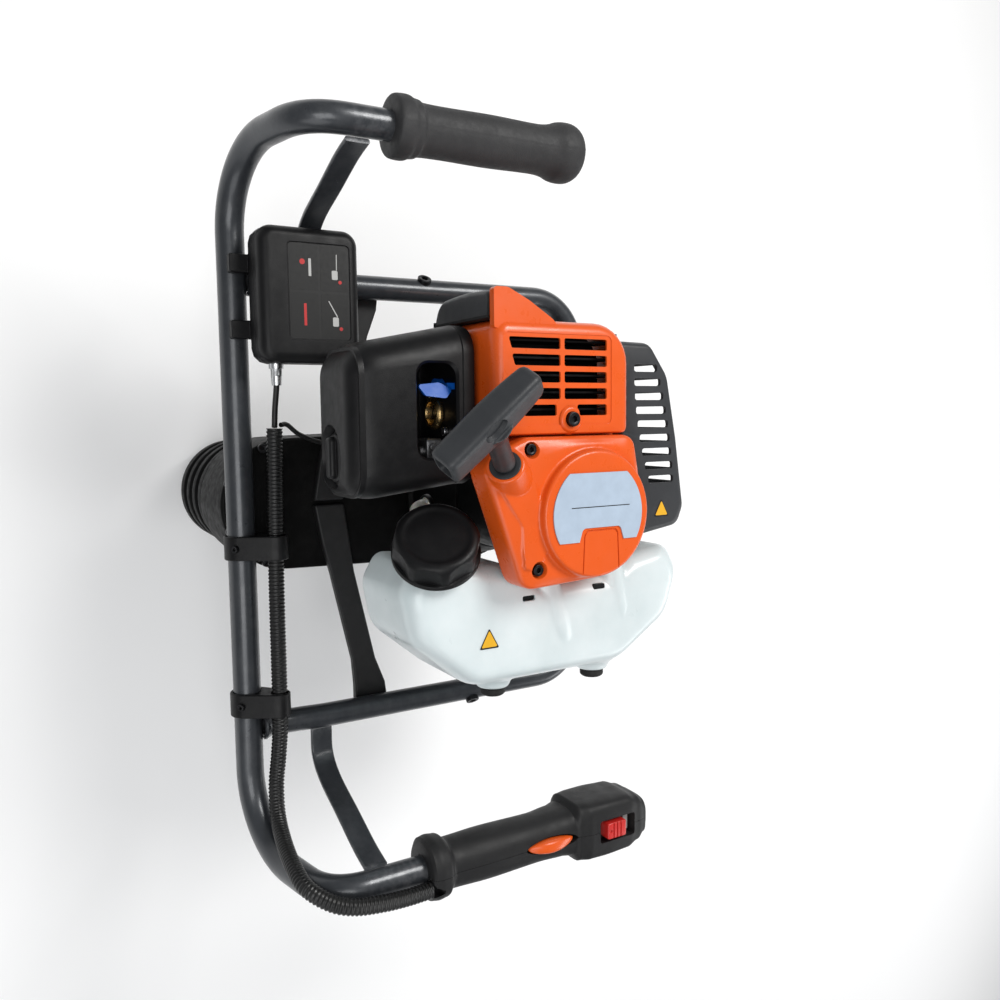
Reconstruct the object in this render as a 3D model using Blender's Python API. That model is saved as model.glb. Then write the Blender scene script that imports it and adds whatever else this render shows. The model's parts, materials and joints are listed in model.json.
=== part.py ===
# Ice fishing auger drive unit: two-stroke power head with recoil starter, three-stage
# gear case with an offset output, tubular handle frame, grips, controls and fuel tank.
# Millimetres below, metres in the finished meshes.  Design frame: crank axis at x = y = 0,
# z = 0 in the plane of the main bar, +Z towards the starter, +Y away from the operator.
# At the end everything is moved so that the origin is the centre of the output shaft's
# lower end, on the auger axis, where the auger fits.
import bpy
import bmesh
from math import sin, cos, pi, radians, hypot, atan2, sqrt
from mathutils import Vector, Matrix

MM = 0.001
GAP = 0.3

# ---- frame ----
BAR_R, BAR_WALL = 12.5, 2.0
BAR_Y = -240.0
ARM_X, ARM_Z = 317.0, 131.0
BAR_STRAIGHT = 244.0
LOOP_R, LOOP_X, LOOP_Z, LOOP_END_Y, LOOP_BEND = 11.4, 205.5, 4.0, 125.0, 50.0
CONDUIT_R = 7.3
# ---- grips ----
GRIP_R, GRIP_Y0, GRIP_Y1 = 21.0, -142.0, 40.0
THR_R, THR_Y0, THR_Y1 = 22.0, -126.0, 113.0
TUBE_END = 18.0
# ---- engine stack, heights along the crank axis ----
BADGE_Z = 222.3
STARTER_Z0, STARTER_Z1, DISC_R = 184.0, 222.0, 57.0
CRANK_Z = 105.0
SHROUD = (-160.0, -66.0, -88.0, 48.0, 95.0, 205.0)
BORE_R, PISTON_R = 20.4, 20.0
SCREWS = ((-55.0, -60.0, 208.0), (44.0, -54.0, 208.0))
ROPE_EXIT = Vector((-42.0, -86.0, 216.0))
PULL = Vector((-36.5, -40.5, 46.0)).normalized()
PULLEY_R = 28.0
# ---- air filter: x0, x1, z0, z1 ----
AF = (-146.0, -15.0, 96.0, 180.0)
# ---- fuel system ----
TANK = (36.0, 147.0, -158.0, 131.0, 74.0, 182.0)
FOOT_Y, FOOT_Z, FOOT_STUB = (-62.0, 46.0), 138.0, 7.0
CAP_AXIS = Vector((-0.70, -0.28, 0.655)).normalized()
CAP_BASE = Vector((29.0, -124.0, 166.0))
CAP_R, CAP_H = 37.0, 24.0
# ---- gear train: (module, pinion teeth, gear teeth) ----
STAGES = ((2.25, 12, 36), (2.5, 12, 38), (3.0, 14, 35))
OFFSETS = [0.0]
for _m, _a, _b in STAGES:
    OFFSETS.append(OFFSETS[-1] - _m * (_a + _b) / 2)
OUT_Y = OFFSETS[-1]
CASE_Z0, CASE_Z1 = -110.0, -26.0
LEVELS = ((-48.0, -36.0), (-68.0, -54.0), (-98.0, -76.0))
DOWN = -pi / 2
OUT_Z0, OUT_Z1 = -232.0, CASE_Z0 - GAP
SHAFT_END = OUT_Z0 - 28.0
OUT_R = 59.0

PALETTE = {
    "frame": ((0.050, 0.054, 0.060), 0.45, 0.6), "grip": ((0.045, 0.046, 0.048), 0.75, 0.0),
    "black": ((0.012, 0.012, 0.013), 0.45, 0.0), "orange": ((0.83, 0.13, 0.012), 0.35, 0.0),
    "graphite": ((0.060, 0.062, 0.066), 0.5, 0.0), "steel": ((0.55, 0.55, 0.56), 0.3, 1.0),
    "alloy": ((0.42, 0.42, 0.43), 0.45, 1.0), "badge": ((0.62, 0.70, 0.80), 0.4, 0.0),
    "tank": ((0.80, 0.83, 0.80), 0.4, 0.0), "red": ((0.70, 0.03, 0.02), 0.4, 0.0),
    "blue": ((0.02, 0.10, 0.62), 0.4, 0.0), "rubber": ((0.02, 0.02, 0.02), 0.85, 0.0),
    "clear": ((0.85, 0.86, 0.80), 0.2, 0.0), "castblack": ((0.018, 0.018, 0.019), 0.6, 0.3),
}


# ------------------------------------------------------------------ helpers
def clear_scene():
    for ob in list(bpy.data.objects):
        bpy.data.objects.remove(ob, do_unlink=True)


def paint(ob, look):
    col, rough, metal = PALETTE[look]
    mat = bpy.data.materials.new(ob.name)
    mat.use_nodes = True
    bsdf = mat.node_tree.nodes["Principled BSDF"]
    bsdf.inputs["Base Color"].default_value = (*col, 1.0)
    bsdf.inputs["Roughness"].default_value = rough
    bsdf.inputs["Metallic"].default_value = metal
    ob.data.materials.clear()
    ob.data.materials.append(mat)
    return ob


def mesh_object(name, verts, faces, look="steel"):
    me = bpy.data.meshes.new(name)
    me.from_pydata([tuple(Vector(v) * MM) for v in verts], [], faces)
    bm = bmesh.new()
    bm.from_mesh(me)
    bmesh.ops.recalc_face_normals(bm, faces=bm.faces)
    bm.to_mesh(me)
    bm.free()
    ob = bpy.data.objects.new(name, me)
    bpy.context.scene.collection.objects.link(ob)
    return paint(ob, look)


def loft(name, rings, look="steel", closed=False):
    """Skin equal-length rings; the end rings are capped unless the loft closes on itself."""
    n = len(rings[0])
    verts = [v for ring in rings for v in ring]
    faces = []
    count = len(rings)
    for i in range(count if closed else count - 1):
        a, b = i * n, ((i + 1) % count) * n
        for j in range(n):
            k = (j + 1) % n
            faces.append((a + j, a + k, b + k, b + j))
    if not closed:
        faces.append(tuple(range(n)))
        faces.append(tuple(range((count - 1) * n, count * n)))
    return mesh_object(name, verts, faces, look)


def basis(axis):
    w = Vector(axis).normalized()
    u = Vector((0, 0, 1)) if abs(w.z) < 0.9 else Vector((1, 0, 0))
    u = (u - w * u.dot(w)).normalized()
    return u, w.cross(u), w


def circle(centre, axis, r, n, phase=0.0):
    u, v, _ = basis(axis)
    c = Vector(centre)
    return [c + (u * cos(phase + 2 * pi * i / n) + v * sin(phase + 2 * pi * i / n)) * r
            for i in range(n)]


def turned(name, base, axis, profile, n, look="steel", closed=False):
    """Solid of revolution from (distance along axis, radius) pairs."""
    _, _, w = basis(axis)
    rings = [circle(Vector(base) + w * t, axis, r, n) for t, r in profile]
    return loft(name, rings, look, closed)


def swept(name, path, r, n, look="steel", bore=0.0):
    """Round tube along a path; with a bore it is open at both ends."""
    pts = [Vector(p) for p in path]
    u = None
    outer, inner = [], []
    for i, p in enumerate(pts):
        t = (pts[min(i + 1, len(pts) - 1)] - pts[max(i - 1, 0)]).normalized()
        if u is None:
            u = basis(t)[0]
        u = (u - t * u.dot(t)).normalized()
        v = t.cross(u)
        ring = [u * cos(2 * pi * k / n) + v * sin(2 * pi * k / n) for k in range(n)]
        outer.append([p + d * r for d in ring])
        inner.append([p + d * bore for d in ring])
    if bore:
        return loft(name, outer + inner[::-1], look, closed=True)
    return loft(name, outer, look)


def smooth(points, steps):
    """Points on a smooth curve through the given ones."""
    pts = [Vector(p) for p in points]
    ext = [pts[0] * 2 - pts[1]] + pts + [pts[-1] * 2 - pts[-2]]
    out = []
    for i in range(1, len(ext) - 2):
        a, b, c, d = ext[i - 1:i + 3]
        for k in range(steps):
            t = k / steps
            out.append(0.5 * (2 * b + (c - a) * t + (2 * a - 5 * b + 4 * c - d) * t * t
                              + (3 * b - a - 3 * c + d) * t ** 3))
    out.append(pts[-1])
    return out


def rounded(corners, steps=4):
    """Polygon with rounded corners from (x, y, radius) triples."""
    out = []
    n = len(corners)
    for i in range(n):
        p = Vector(corners[i][:2])
        a = (Vector(corners[i - 1][:2]) - p)
        b = (Vector(corners[(i + 1) % n][:2]) - p)
        ua, ub = a.normalized(), b.normalized()
        half = ua.angle(ub) / 2
        r = corners[i][2]
        if r <= 0:
            out.append(tuple(p))
            continue
        d = r / max(1e-6, abs(sin(half) / cos(half)))
        start, end = p + ua * d, p + ub * d
        mid = p + (ua + ub).normalized() * (r / sin(half))
        a0 = atan2((start - mid).y, (start - mid).x)
        a1 = atan2((end - mid).y, (end - mid).x)
        da = (a1 - a0 + pi) % (2 * pi) - pi
        for k in range(steps + 1):
            q = a0 + da * k / steps
            out.append((mid.x + r * cos(q), mid.y + r * sin(q)))
    return out


def rect(x0, x1, y0, y1, r, inset=0.0, steps=4):
    i = inset
    rr = max(0.6, r - i)
    return rounded([(x0 + i, y0 + i, rr), (x1 - i, y0 + i, rr), (x1 - i, y1 - i, rr),
                    (x0 + i, y1 - i, rr)], steps)


def at(outline, z):
    return [Vector((p[0], p[1], z)) for p in outline]


def at_y(outline, y):
    """Outline given in x, z, placed at depth y."""
    return [Vector((p[0], y, p[1])) for p in outline]


def box(name, x0, x1, y0, y1, z0, z1, look="steel"):
    base = [(x0, y0), (x1, y0), (x1, y1), (x0, y1)]
    return loft(name, [at(base, z0), at(base, z1)], look)


def ray_outline(circles, n, inset=0.0):
    """Star-shaped outline about the origin enclosing circles joined by their tangents."""
    cloud = []
    for cx, cy, r in circles:
        cloud += [Vector((cx + (r - inset) * cos(2 * pi * k / 48), cy + (r - inset) * sin(2 * pi * k / 48)))
                  for k in range(48)]
    cloud.sort(key=lambda p: (p.x, p.y))

    def half(points):
        chain = []
        for p in points:
            while len(chain) > 1 and (chain[-1] - chain[-2]).cross(p - chain[-2]) <= 0:
                chain.pop()
            chain.append(p)
        return chain[:-1]
    hull = half(cloud) + half(cloud[::-1])
    out = []
    for k in range(n):
        d = Vector((cos(2 * pi * k / n), sin(2 * pi * k / n)))
        best = 0.0
        for i, p in enumerate(hull):
            q = hull[(i + 1) % len(hull)]
            e = q - p
            den = d.cross(e)
            if abs(den) > 1e-9:
                t, s = p.cross(e) / den, p.cross(d) / den
                if t > 0 and -1e-6 <= s <= 1 + 1e-6:
                    best = max(best, t)
        out.append((d.x * best, d.y * best))
    return out


def shifted(outline, dx, dy):
    return [(p[0] + dx, p[1] + dy) for p in outline]


def boolean(target, tool, op="DIFFERENCE"):
    tool.hide_render = True
    tool.display_type = "WIRE"
    mod = target.modifiers.new(op.lower(), "BOOLEAN")
    mod.object, mod.operation, mod.solver = tool, op, "EXACT"
    deps = bpy.context.evaluated_depsgraph_get()
    me = bpy.data.meshes.new_from_object(target.evaluated_get(deps))
    target.modifiers.clear()
    old = target.data
    target.data = me
    me.name = old.name
    bpy.data.meshes.remove(old)
    bpy.data.objects.remove(tool, do_unlink=True)
    bm = bmesh.new()
    bm.from_mesh(me)
    bmesh.ops.remove_doubles(bm, verts=bm.verts, dist=0.00002)
    bmesh.ops.dissolve_degenerate(bm, edges=bm.edges, dist=0.00002)
    bm.to_mesh(me)
    bm.free()
    return target


def cut(target, tools):
    for tool in tools:
        boolean(target, tool)
    return target


def join(target, tools):
    for tool in tools:
        boolean(target, tool, "UNION")
    return target


def rod(a, b, r, n=16):
    """Plain round tool or pin between two points."""
    a, b = Vector(a), Vector(b)
    return turned("rod", a, b - a, [(0, r), ((b - a).length, r)], n)


# ------------------------------------------------------------------ frame
def bar_path():
    """Centreline of the main bar: straight run, bend up into each arm, knee into the grip run."""
    corner = Vector((ARM_X, BAR_Y, 0))
    knee = Vector((ARM_X, BAR_Y + 28.0, ARM_Z))
    rise = (knee - corner).normalized()
    r1, reach = ARM_X - BAR_STRAIGHT, 36.0
    centre = corner + Vector((-r1, 0, 0)) + rise * r1
    half = []
    for k in range(6):
        a = pi / 2 * k / 5
        half.append(centre + Vector((r1 * sin(a), 0, 0)) - rise * (r1 * cos(a)))
    start, end = knee - rise * reach, knee + Vector((0, reach, 0))
    for k in range(5):
        t = k / 4
        half.append(start * (1 - t) ** 2 + knee * (2 * t * (1 - t)) + end * (t * t))
    half.append(Vector((ARM_X, TUBE_END, ARM_Z)))
    mirror = [Vector((-p.x, p.y, p.z)) for p in half]
    return mirror[::-1] + half


def handle_bar():
    return swept("handle_bar", bar_path(), BAR_R, 12, "frame", BAR_R - BAR_WALL)


def guard_loop():
    y0 = BAR_Y + BAR_R + 0.9
    path = [Vector((-LOOP_X, y0, 0.0)), Vector((-LOOP_X, y0 + 22, 0.0)), Vector((-LOOP_X, y0 + 60, LOOP_Z))]
    for k in range(6):
        a = pi / 2 * k / 5
        path.append(Vector((-LOOP_X + LOOP_BEND * (1 - cos(a)), LOOP_END_Y - LOOP_BEND * (1 - sin(a)), LOOP_Z)))
    path += [Vector((-p.x, p.y, p.z)) for p in path[::-1]]
    return swept("guard_loop", path, LOOP_R, 12, "frame", LOOP_R - 1.8)


def brace(side):
    """Flat strut from the loop's leg up to the raised arm."""
    route = ((LOOP_X + LOOP_R + 2.0, 0.0), (244.0, 2.0), (262.0, 22.0), (279.0, 66.0), (294.5, 106.0),
             (ARM_X - BAR_R - 2.9, 132.0))
    rings = []
    path = smooth([(side * x, -170.0, z) for x, z in route], 3)
    for i, p in enumerate(path):
        t = (path[min(i + 1, len(path) - 1)] - path[max(i - 1, 0)]).normalized()
        wide = Vector((0, 1, 0))
        wide = (wide - t * wide.dot(t)).normalized()
        thick = t.cross(wide)
        rings.append([p + wide * sx * 10.5 + thick * sy * 2.2
                      for sx, sy in ((-1, -1), (1, -1), (1, 1), (-1, 1))])
    return loft("brace_left" if side < 0 else "brace_right", rings, "frame")


def mount_arm(side):
    """Flat bar over the gear cover to the underside of the loop's leg."""
    z0, z1 = CASE_Z1 + 8.4, LOOP_Z - LOOP_R - 0.6
    stations = ((2.0, -152.0, 15.0), (40.0, -146.0, 14.0), (70.0, -140.0, 12.0), (160.0, -120.0, 12.0),
                (186.0, -114.0, 16.0), (LOOP_X + 12.0, -112.0, 18.0))
    rings = []
    for x, y, w in stations:
        rings.append([Vector((side * x, y - w, z0)), Vector((side * x, y + w, z0)),
                      Vector((side * x, y + w, z1)), Vector((side * x, y - w, z1))])
    return loft("mount_arm_left" if side < 0 else "mount_arm_right", rings, "castblack")


def conduit_path():
    """Along the main bar, up the inside of the raised arm, over it and into the throttle grip's collar."""
    return smooth([(-73, -212, 21), (60, -215, 21), (186, -216, 21.5), (225, -218, 20.5), (256, -222, 22),
                   (281, -226, 38), (293.5, -230, 70), (300.5, -232, 104), (307, -229, 128), (316, -214, 144),
                   (321, -196, 151), (324, -172, 153), (326, -150, 152), (327, -127.4, 150)], 3)


def cable_conduit():
    return swept("cable_conduit", conduit_path(), CONDUIT_R, 10, "black")


def conduit_clip(name, x):
    """Two-lobed clip that holds the conduit against the main bar."""
    w = 11.0
    cy, cz = -213.0 - 3.0 * x / 186.0, 21.0
    outline = ray_outline([(0.0, 0.0, BAR_R + 3.0), (cy - BAR_Y, cz, CONDUIT_R + 2.8)], 28)
    body = loft(name, [[Vector((x + s, BAR_Y + p[0], p[1])) for p in outline] for s in (-w, w)], "graphite")
    return cut(body, [rod((x - w - 2, BAR_Y, 0), (x + w + 2, BAR_Y, 0), BAR_R + GAP, 20),
                      rod((x - w - 2, cy, cz), (x + w + 2, cy, cz), CONDUIT_R + 1.3, 16)])


# ------------------------------------------------------------------ grips and controls
def plain_grip():
    y0 = GRIP_Y0
    length = GRIP_Y1 - GRIP_Y0
    outer = [(0, 23.0), (2.5, 25.6), (15, 25.6), (18, 24.5), (26, GRIP_R), (90, GRIP_R + 0.8), (140, GRIP_R),
             (152, 22.5), (160, 25.5), (170, 26.0), (178, 23.5), (length, 18.0)]
    inner = [(length - 18.0, BAR_R + GAP), (0, BAR_R + GAP)]
    return turned("plain_grip", (-ARM_X, y0, ARM_Z), (0, 1, 0), inner + outer, 20, "grip")


def grip_rings(side):
    """Half cross-sections of the throttle grip, one side of its split plane."""
    stations = ((THR_Y0, 25, 25, 25), (THR_Y0 + 3, 27.5, 27, 27), (THR_Y0 + 18, 27.5, 27, 27),
                (THR_Y0 + 23, THR_R, THR_R, THR_R), (-65, THR_R + 1, THR_R + 1, THR_R + 1),
                (-10, THR_R - 0.5, THR_R - 0.5, THR_R), (15, THR_R + 0.5, THR_R, THR_R + 4), (32, 25, 25, 28),
                (50, 28, 27, 27), (88, 28, 27, 25), (105, 24, 24, 22), (THR_Y1, 16, 17, 16))
    rings = []
    for y, half_w, up, down in stations:
        ring = []
        for k in range(11):
            a = -pi / 2 + pi * k / 10
            h = up if a > 0 else down
            ring.append(Vector((ARM_X + side * (half_w * cos(a) + 0.15 if 0 < k < 10 else 0.15), y,
                                ARM_Z + h * sin(a))))
        rings.append(ring)
    return rings


def grip_shell(name, side):
    shell = loft(name, grip_rings(side), "grip")
    tools = [rod((ARM_X, THR_Y0 - 4, ARM_Z), (ARM_X, TUBE_END + 3, ARM_Z), BAR_R + GAP, 16),
             box("hollow", ARM_X - 17, ARM_X + 17, 26, 96, ARM_Z - 14, ARM_Z + 17),
             box("trigger_slot", ARM_X - 6.6, ARM_X + 6.6, -52, 56, ARM_Z - 40, ARM_Z - 13.2),
             box("lock_slot", ARM_X - 6.8, ARM_X + 6.8, -36, 25, ARM_Z + 13.4, ARM_Z + 40),
             box("switch_recess", ARM_X - 11, ARM_X + 11, 50, 92, ARM_Z + 16, ARM_Z + 40),
             rod((ARM_X - 19.5, 42, ARM_Z - 8), (ARM_X + 19.5, 42, ARM_Z - 8), 3.3, 12)]
    if side > 0:
        tools.append(rod((327.2, -134, 150.4), (326.6, THR_Y0 + 10, 148.8), CONDUIT_R + 0.8, 12))
    cut(shell, tools)
    return paint(shell, "grip")


def throttle_trigger():
    """Finger lever under the grip, pivoted on a pin held between the grip shells."""
    w = 5.8
    rings = []
    for y, top, bottom in ((-44, -24.8, -29), (-38, -23.5, -33), (-18, -22.0, -34), (4, -22.0, -33),
                           (24, -20.0, -30), (36, -4.0, -27), (46, -3.0, -21), (48, -5.0, -12)):
        rings.append([Vector((ARM_X + sx * w, y, ARM_Z + z)) for sx, z in
                      ((-1, bottom), (1, bottom), (1, top), (-1, top))])
    lever = loft("throttle_trigger", rings, "black")
    join(lever, [rod((ARM_X - 19, 42, ARM_Z - 8), (ARM_X + 19, 42, ARM_Z - 8), 3.0, 12)])
    return paint(lever, "black")


def throttle_lock():
    w = 6.0
    rings = []
    for y, top, bottom in ((-27, 21.5, 19.5), (-21, 25.5, 19.5), (-4, 28.0, 18.5), (12, 26.5, 16.5), (23, 19.0, 15.0)):
        rings.append([Vector((ARM_X + sx * w, y, ARM_Z + z)) for sx, z in
                      ((-1, bottom), (1, bottom), (1, top), (-1, top))])
    return loft("throttle_lock", rings, "orange")


def stop_switch():
    rings = [at(rect(ARM_X - 8, ARM_X + 8, 57, 79, 2, steps=2), ARM_Z + 17.6),
             at(rect(ARM_X - 8, ARM_X + 8, 57, 79, 2, steps=2), ARM_Z + 27),
             at(rect(ARM_X - 8, ARM_X + 8, 57, 79, 2, 1.2, steps=2), ARM_Z + 30.5)]
    return loft("stop_switch", rings, "red")


def control_box():
    """Electronics box on the main bar: tray, lid, cable gland and short cable."""
    x0, x1, y0, y1, zb = -247.0, -130.0, -231.0, -140.0, 20.5
    r = 13.0

    def o(inset):
        return rect(x0, x1, y0, y1, r, inset, 3)
    base = loft("control_box_base", [at(o(3), zb + 4), at(o(3), zb + 17), at(o(0), zb + 17), at(o(0), zb + 3),
                                     at(o(3), zb)], "black")
    for xa in (x0 + 22, x1 - 38):
        join(base, [box("foot", xa, xa + 16, BAR_Y - 7, y0 + 16, BAR_R + 0.4, zb + 2)])
    paint(base, "black")
    loft("control_box_lid", [at(o(3), zb + 32), at(o(3), zb + 17.3), at(o(0), zb + 17.3), at(o(0), zb + 30),
                             at(o(2.5), zb + 34.5), at(o(8), zb + 35.5)], "black")
    y, z = -213.0, 36.0
    lead = swept("box_cable", smooth([(x1 + 6, y, z), (-110, y, 35), (-90, y + 0.6, 26), (-74, -212, 21.4)], 3),
                 2.6, 8)
    turned_sleeve = turned("sleeve", (x1 + GAP, y, z), (1, 0, 0), [(0, 6.5), (7, 6.5), (8, 4.6), (19, 4.6)], 12)
    join(lead, [turned_sleeve])
    paint(lead, "black")


def engine_cable():
    return swept("engine_cable", smooth([(-76, -206.5, 22), (-76, -199, 17), (-66, -183, 7),
                                         (-58, -156, 4), (-66, -130, 34), (-84, -112, 82)], 3), 2.2, 6, "black")


# ------------------------------------------------------------------ engine
def crankcase():
    corners = [(-48, -40, 10), (-20, -46, 12), (30, -46, 22), (44, -20, 20), (44, 20, 20), (30, 46, 22),
               (-20, 46, 12), (-48, 40, 10)]
    body = loft("crankcase", [at(rounded(corners, 2), 56), at(rounded(corners, 2), 150)], "alloy")
    z = CRANK_Z
    cut(body, [rod((0, 0, z - 22), (0, 0, z + 22), 27.5, 24), rod((0, 0, 50), (0, 0, 160), 8.6, 16),
               rod((-60, 0, z), (0, 0, z), BORE_R, 24)])
    return paint(body, "alloy")


def cylinder():
    """Finned barrel and head with a blind bore open to the crankcase."""
    n = 20

    def ring(x, r, square=0.0):
        pts = []
        for k in range(n):
            a = 2 * pi * k / n
            c, s = cos(a), sin(a)
            q = r if not square else min(square / max(abs(c), 1e-6), square / max(abs(s), 1e-6), square * 1.28)
            pts.append(Vector((x, q * c, CRANK_Z + q * s)))
        return pts
    rings = [ring(-124, BORE_R), ring(-48.4, BORE_R), ring(-48.4, 30), ring(-56, 30)]
    x = -60.0
    for _ in range(6):
        rings += [ring(x, 25.5), ring(x, 0, 40.0), ring(x - 4, 0, 40.0), ring(x - 4, 25.5)]
        x -= 11.4
    rings += [ring(-131, 18)]
    return loft("cylinder", rings, "alloy")


def piston():
    return turned("piston", (-78, 0, CRANK_Z), (-1, 0, 0),
                  [(20, 16), (0, 17), (0, PISTON_R), (3, PISTON_R), (26, PISTON_R), (28, 18.5)], 20, "alloy")


def connecting_rod():
    """Rod with its big-end pin; the pin sits at its nearest point to the cylinder."""
    z = CRANK_Z
    body = turned("connecting_rod", (-17.5, 0, z - 4), (0, 0, 1), [(0, 9.5), (8, 9.5)], 16, "steel")
    shank = loft("shank", [[Vector((x, y, z + s)) for y, s in ((-w, -3), (w, -3), (w, 3), (-w, 3))]
                           for x, w in ((-22, 6), (-86, 4.5))])
    small = turned("eye", (-86, 0, z - 6), (0, 0, 1), [(0, 7.5), (12, 7.5)], 14)
    pin = rod((-17.5, 0, z - 8.6), (-17.5, 0, z + 8.6), 5.5, 12)
    return paint(join(body, [shank, small, pin]), "steel")


def crankshaft():
    z = CRANK_Z
    return turned("crankshaft", (0, 0, 0), (0, 0, 1),
                  [(12, 6), (14, 8), (z - 17, 8), (z - 17, 24), (z - 9, 24), (z - 9, 6), (z + 9, 6),
                   (z + 9, 24), (z + 17, 24), (z + 17, 8), (183, 8)], 18, "steel")


def flywheel():
    """Fan disc: a rim ring carrying radial blades, bored for the crankshaft."""
    blades, per = 11, 5
    n = blades * per

    def star(z):
        pts = []
        for k in range(n):
            a = 2 * pi * k / n
            r = 46.0 if k % per < 2 else 24.0
            pts.append(Vector((r * cos(a), r * sin(a), z)))
        return pts

    def ring(r, z):
        return [Vector((r * cos(2 * pi * k / n), r * sin(2 * pi * k / n), z)) for k in range(n)]
    return loft("flywheel", [ring(46.5, 154), ring(46.5, 165), star(165), star(180), ring(8.4, 180),
                             ring(8.4, 154)], "alloy", closed=True)


def spark_plug():
    return turned("spark_plug", (-131.3, 0, CRANK_Z), (-1, 0, 0),
                  [(0, 8), (5, 8), (5, 6), (8, 6), (8, 9.5), (19, 9.5), (24, 7.5)], 12, "rubber")


def cylinder_shroud():
    """Fan shroud: a vented box over the cylinder and a collar around the flywheel."""
    x0, x1, y0, y1, z0, z1 = SHROUD
    body = loft("cylinder_shroud", [at(rect(x0, x1, y0, y1, 9), z0), at(rect(x0, x1, y0, y1, 9), z1 - 5),
                                    at(rect(x0, x1, y0, y1, 9, 2), z1 - 1.5), at(rect(x0, x1, y0, y1, 9, 6), z1)],
                "orange")
    fin = loft("fin", [at([(x0 + 3, y0 + 3), (x0 - 26, y0 + 6), (x0 + 3, y0 + 50)], z) for z in (z1 - 9, z1 - 1)])
    around = ray_outline([(0, 0, 58), (-64, -38, 5), (-64, 38, 5)], 40)
    collar = loft("collar", [at(around, 150), at(around, 183.7)])
    join(body, [fin, collar])
    tools = [box("inner", x0 + 3, x1 - 3, y0 + 3, y1 - 3, z0 - 5, z1 - 3),
             box("passage", x1 - 8, x1 + 40, -34, 34, 152.5, 181),
             rod((0, 0, 140), (0, 0, 190), 53, 36),
             box("inlet", x0 + 44, x1 - 2 + 0.9, y0 - 5, y0 + 8, z0 - 20, 142),
             box("skirt", x1 - 8, x1 + 8, y0 - 5, 44, z0 - 20, 149.5)]
    for row in range(5):
        xa = -145 + 14.2 * row
        for ya, yb in ((-78, -36), (-31, 14)):
            tools.append(box("vent", xa, xa + 9.6, ya, yb, z1 - 10, z1 + 5))
    cut(body, tools)
    return paint(body, "orange")


def plug_cover():
    x0, _, y0, _, _, z1 = SHROUD
    x, y = x0 - GAP, y0

    def tri(i):
        return [(x - i * 0.3, y + i), (x - 24 + i, y + 4 + i), (x - 20 + i, y + 16), (x - i * 0.3, y + 48 - 2 * i)]
    z_top = z1 - 9 - GAP
    return loft("plug_cover", [at(tri(2.6), z_top - 2.5), at(tri(2.6), 100), at(tri(0), 100), at(tri(0), z_top)],
                "graphite")


def starter_housing():
    """Recoil cover: a shell with a raised round face, a rope lobe and a mounting foot."""
    lobes = [(0, 0, DISC_R), (-38, -80, 17), (44, -54, 15), (-54, -60, 11), (-53, 36, 12)]
    n = 44
    z0, z1 = STARTER_Z0, STARTER_Z1

    def o(i):
        return ray_outline(lobes, n, i)

    def d(r):
        return ray_outline([(0, 0, r)], n)
    body = loft("starter_housing", [at(o(3), z1 - 18), at(o(3), z0), at(o(0), z0), at(o(0), z1 - 14),
                                    at(o(3), z1 - 9.5), at(d(DISC_R - 3.4), z1 - 9), at(d(DISC_R - 3.8), z1 - 2),
                                    at(d(DISC_R - 6), z1)], "orange")
    post = rod((0, 0, 187), (0, 0, z1 - 10), 5.6, 14)
    join(body, [post])
    tools = [rod(ROPE_EXIT - PULL * 40, ROPE_EXIT + PULL * 12, 3.2, 12)]
    for sx, sy, zz in SCREWS:
        tools.append(rod((sx, sy, zz), (sx, sy, z1 + 10), 5.2, 12))
    cut(body, tools)
    return paint(body, "orange")


def starter_screws():
    out = [turned(f"starter_screw_{i + 1}", (sx, sy, zz + GAP), (0, 0, 1), [(0, 4.8), (4.2, 4.8), (5.2, 3.6)],
                  12, "black") for i, (sx, sy, zz) in enumerate(SCREWS)]
    out.append(turned("shroud_screw", (-78, -12, SHROUD[5] + GAP), (0, 0, 1), [(0, 6.0), (4.2, 6.0), (5.4, 4.6)],
                      12, "black"))
    return out


def starter_badge():
    """Plain two-step plate on the starter face with a cut-out for the lower tab."""
    r, flat, low, notch = 44.5, -31.0, 35.0, 19.0
    pts = []
    a0, a1 = atan2(sqrt(r * r - flat * flat), flat), atan2(sqrt(r * r - low * low), low)
    for k in range(9):
        a = a0 + (a1 - a0) * k / 8
        pts.append((r * cos(a), r * sin(a)))
    pts += [(low, notch), (low - 14, notch), (low - 16, notch - 3), (low - 16, -notch + 3), (low - 14, -notch),
            (low, -notch)]
    for k in range(9):
        a = -a1 + (a1 - a0) * k / 8
        pts.append((r * cos(a), r * sin(a)))
    return loft("starter_badge", [at(pts, BADGE_Z), at(pts, BADGE_Z + 0.9)], "badge")


def recoil_pulley():
    return turned("recoil_pulley", (0, 0, 186), (0, 0, 1),
                  [(0, 6.2), (0, PULLEY_R + 2), (2, PULLEY_R + 2), (4, PULLEY_R - 4), (8, PULLEY_R - 4),
                   (10, PULLEY_R + 2), (12, PULLEY_R + 2), (12, 6.2)], 24, "graphite", closed=True)


def recoil_spring():
    """Flat spiral spring above the pulley."""
    rings = []
    steps, turns = 44, 3.2
    for k in range(steps + 1):
        a = 2 * pi * turns * k / steps
        r = 9.0 + 14.0 * k / steps
        rings.append([Vector(((r + d) * cos(a), (r + d) * sin(a), z)) for d, z in
                      ((0, 198.5), (1.1, 198.5), (1.1, 203.2), (0, 203.2))])
    return loft("recoil_spring", rings, "steel")


def rope_points():
    inner = ROPE_EXIT - PULL * 37
    tangent = Vector((21.4, -16.6, 192.0))
    return [tangent, Vector((4.0, -38.0, 192.0)), inner, ROPE_EXIT + PULL * 5.4]


def recoil_rope():
    return swept("recoil_rope", smooth(rope_points(), 3), 1.7, 8, "black")


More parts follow.
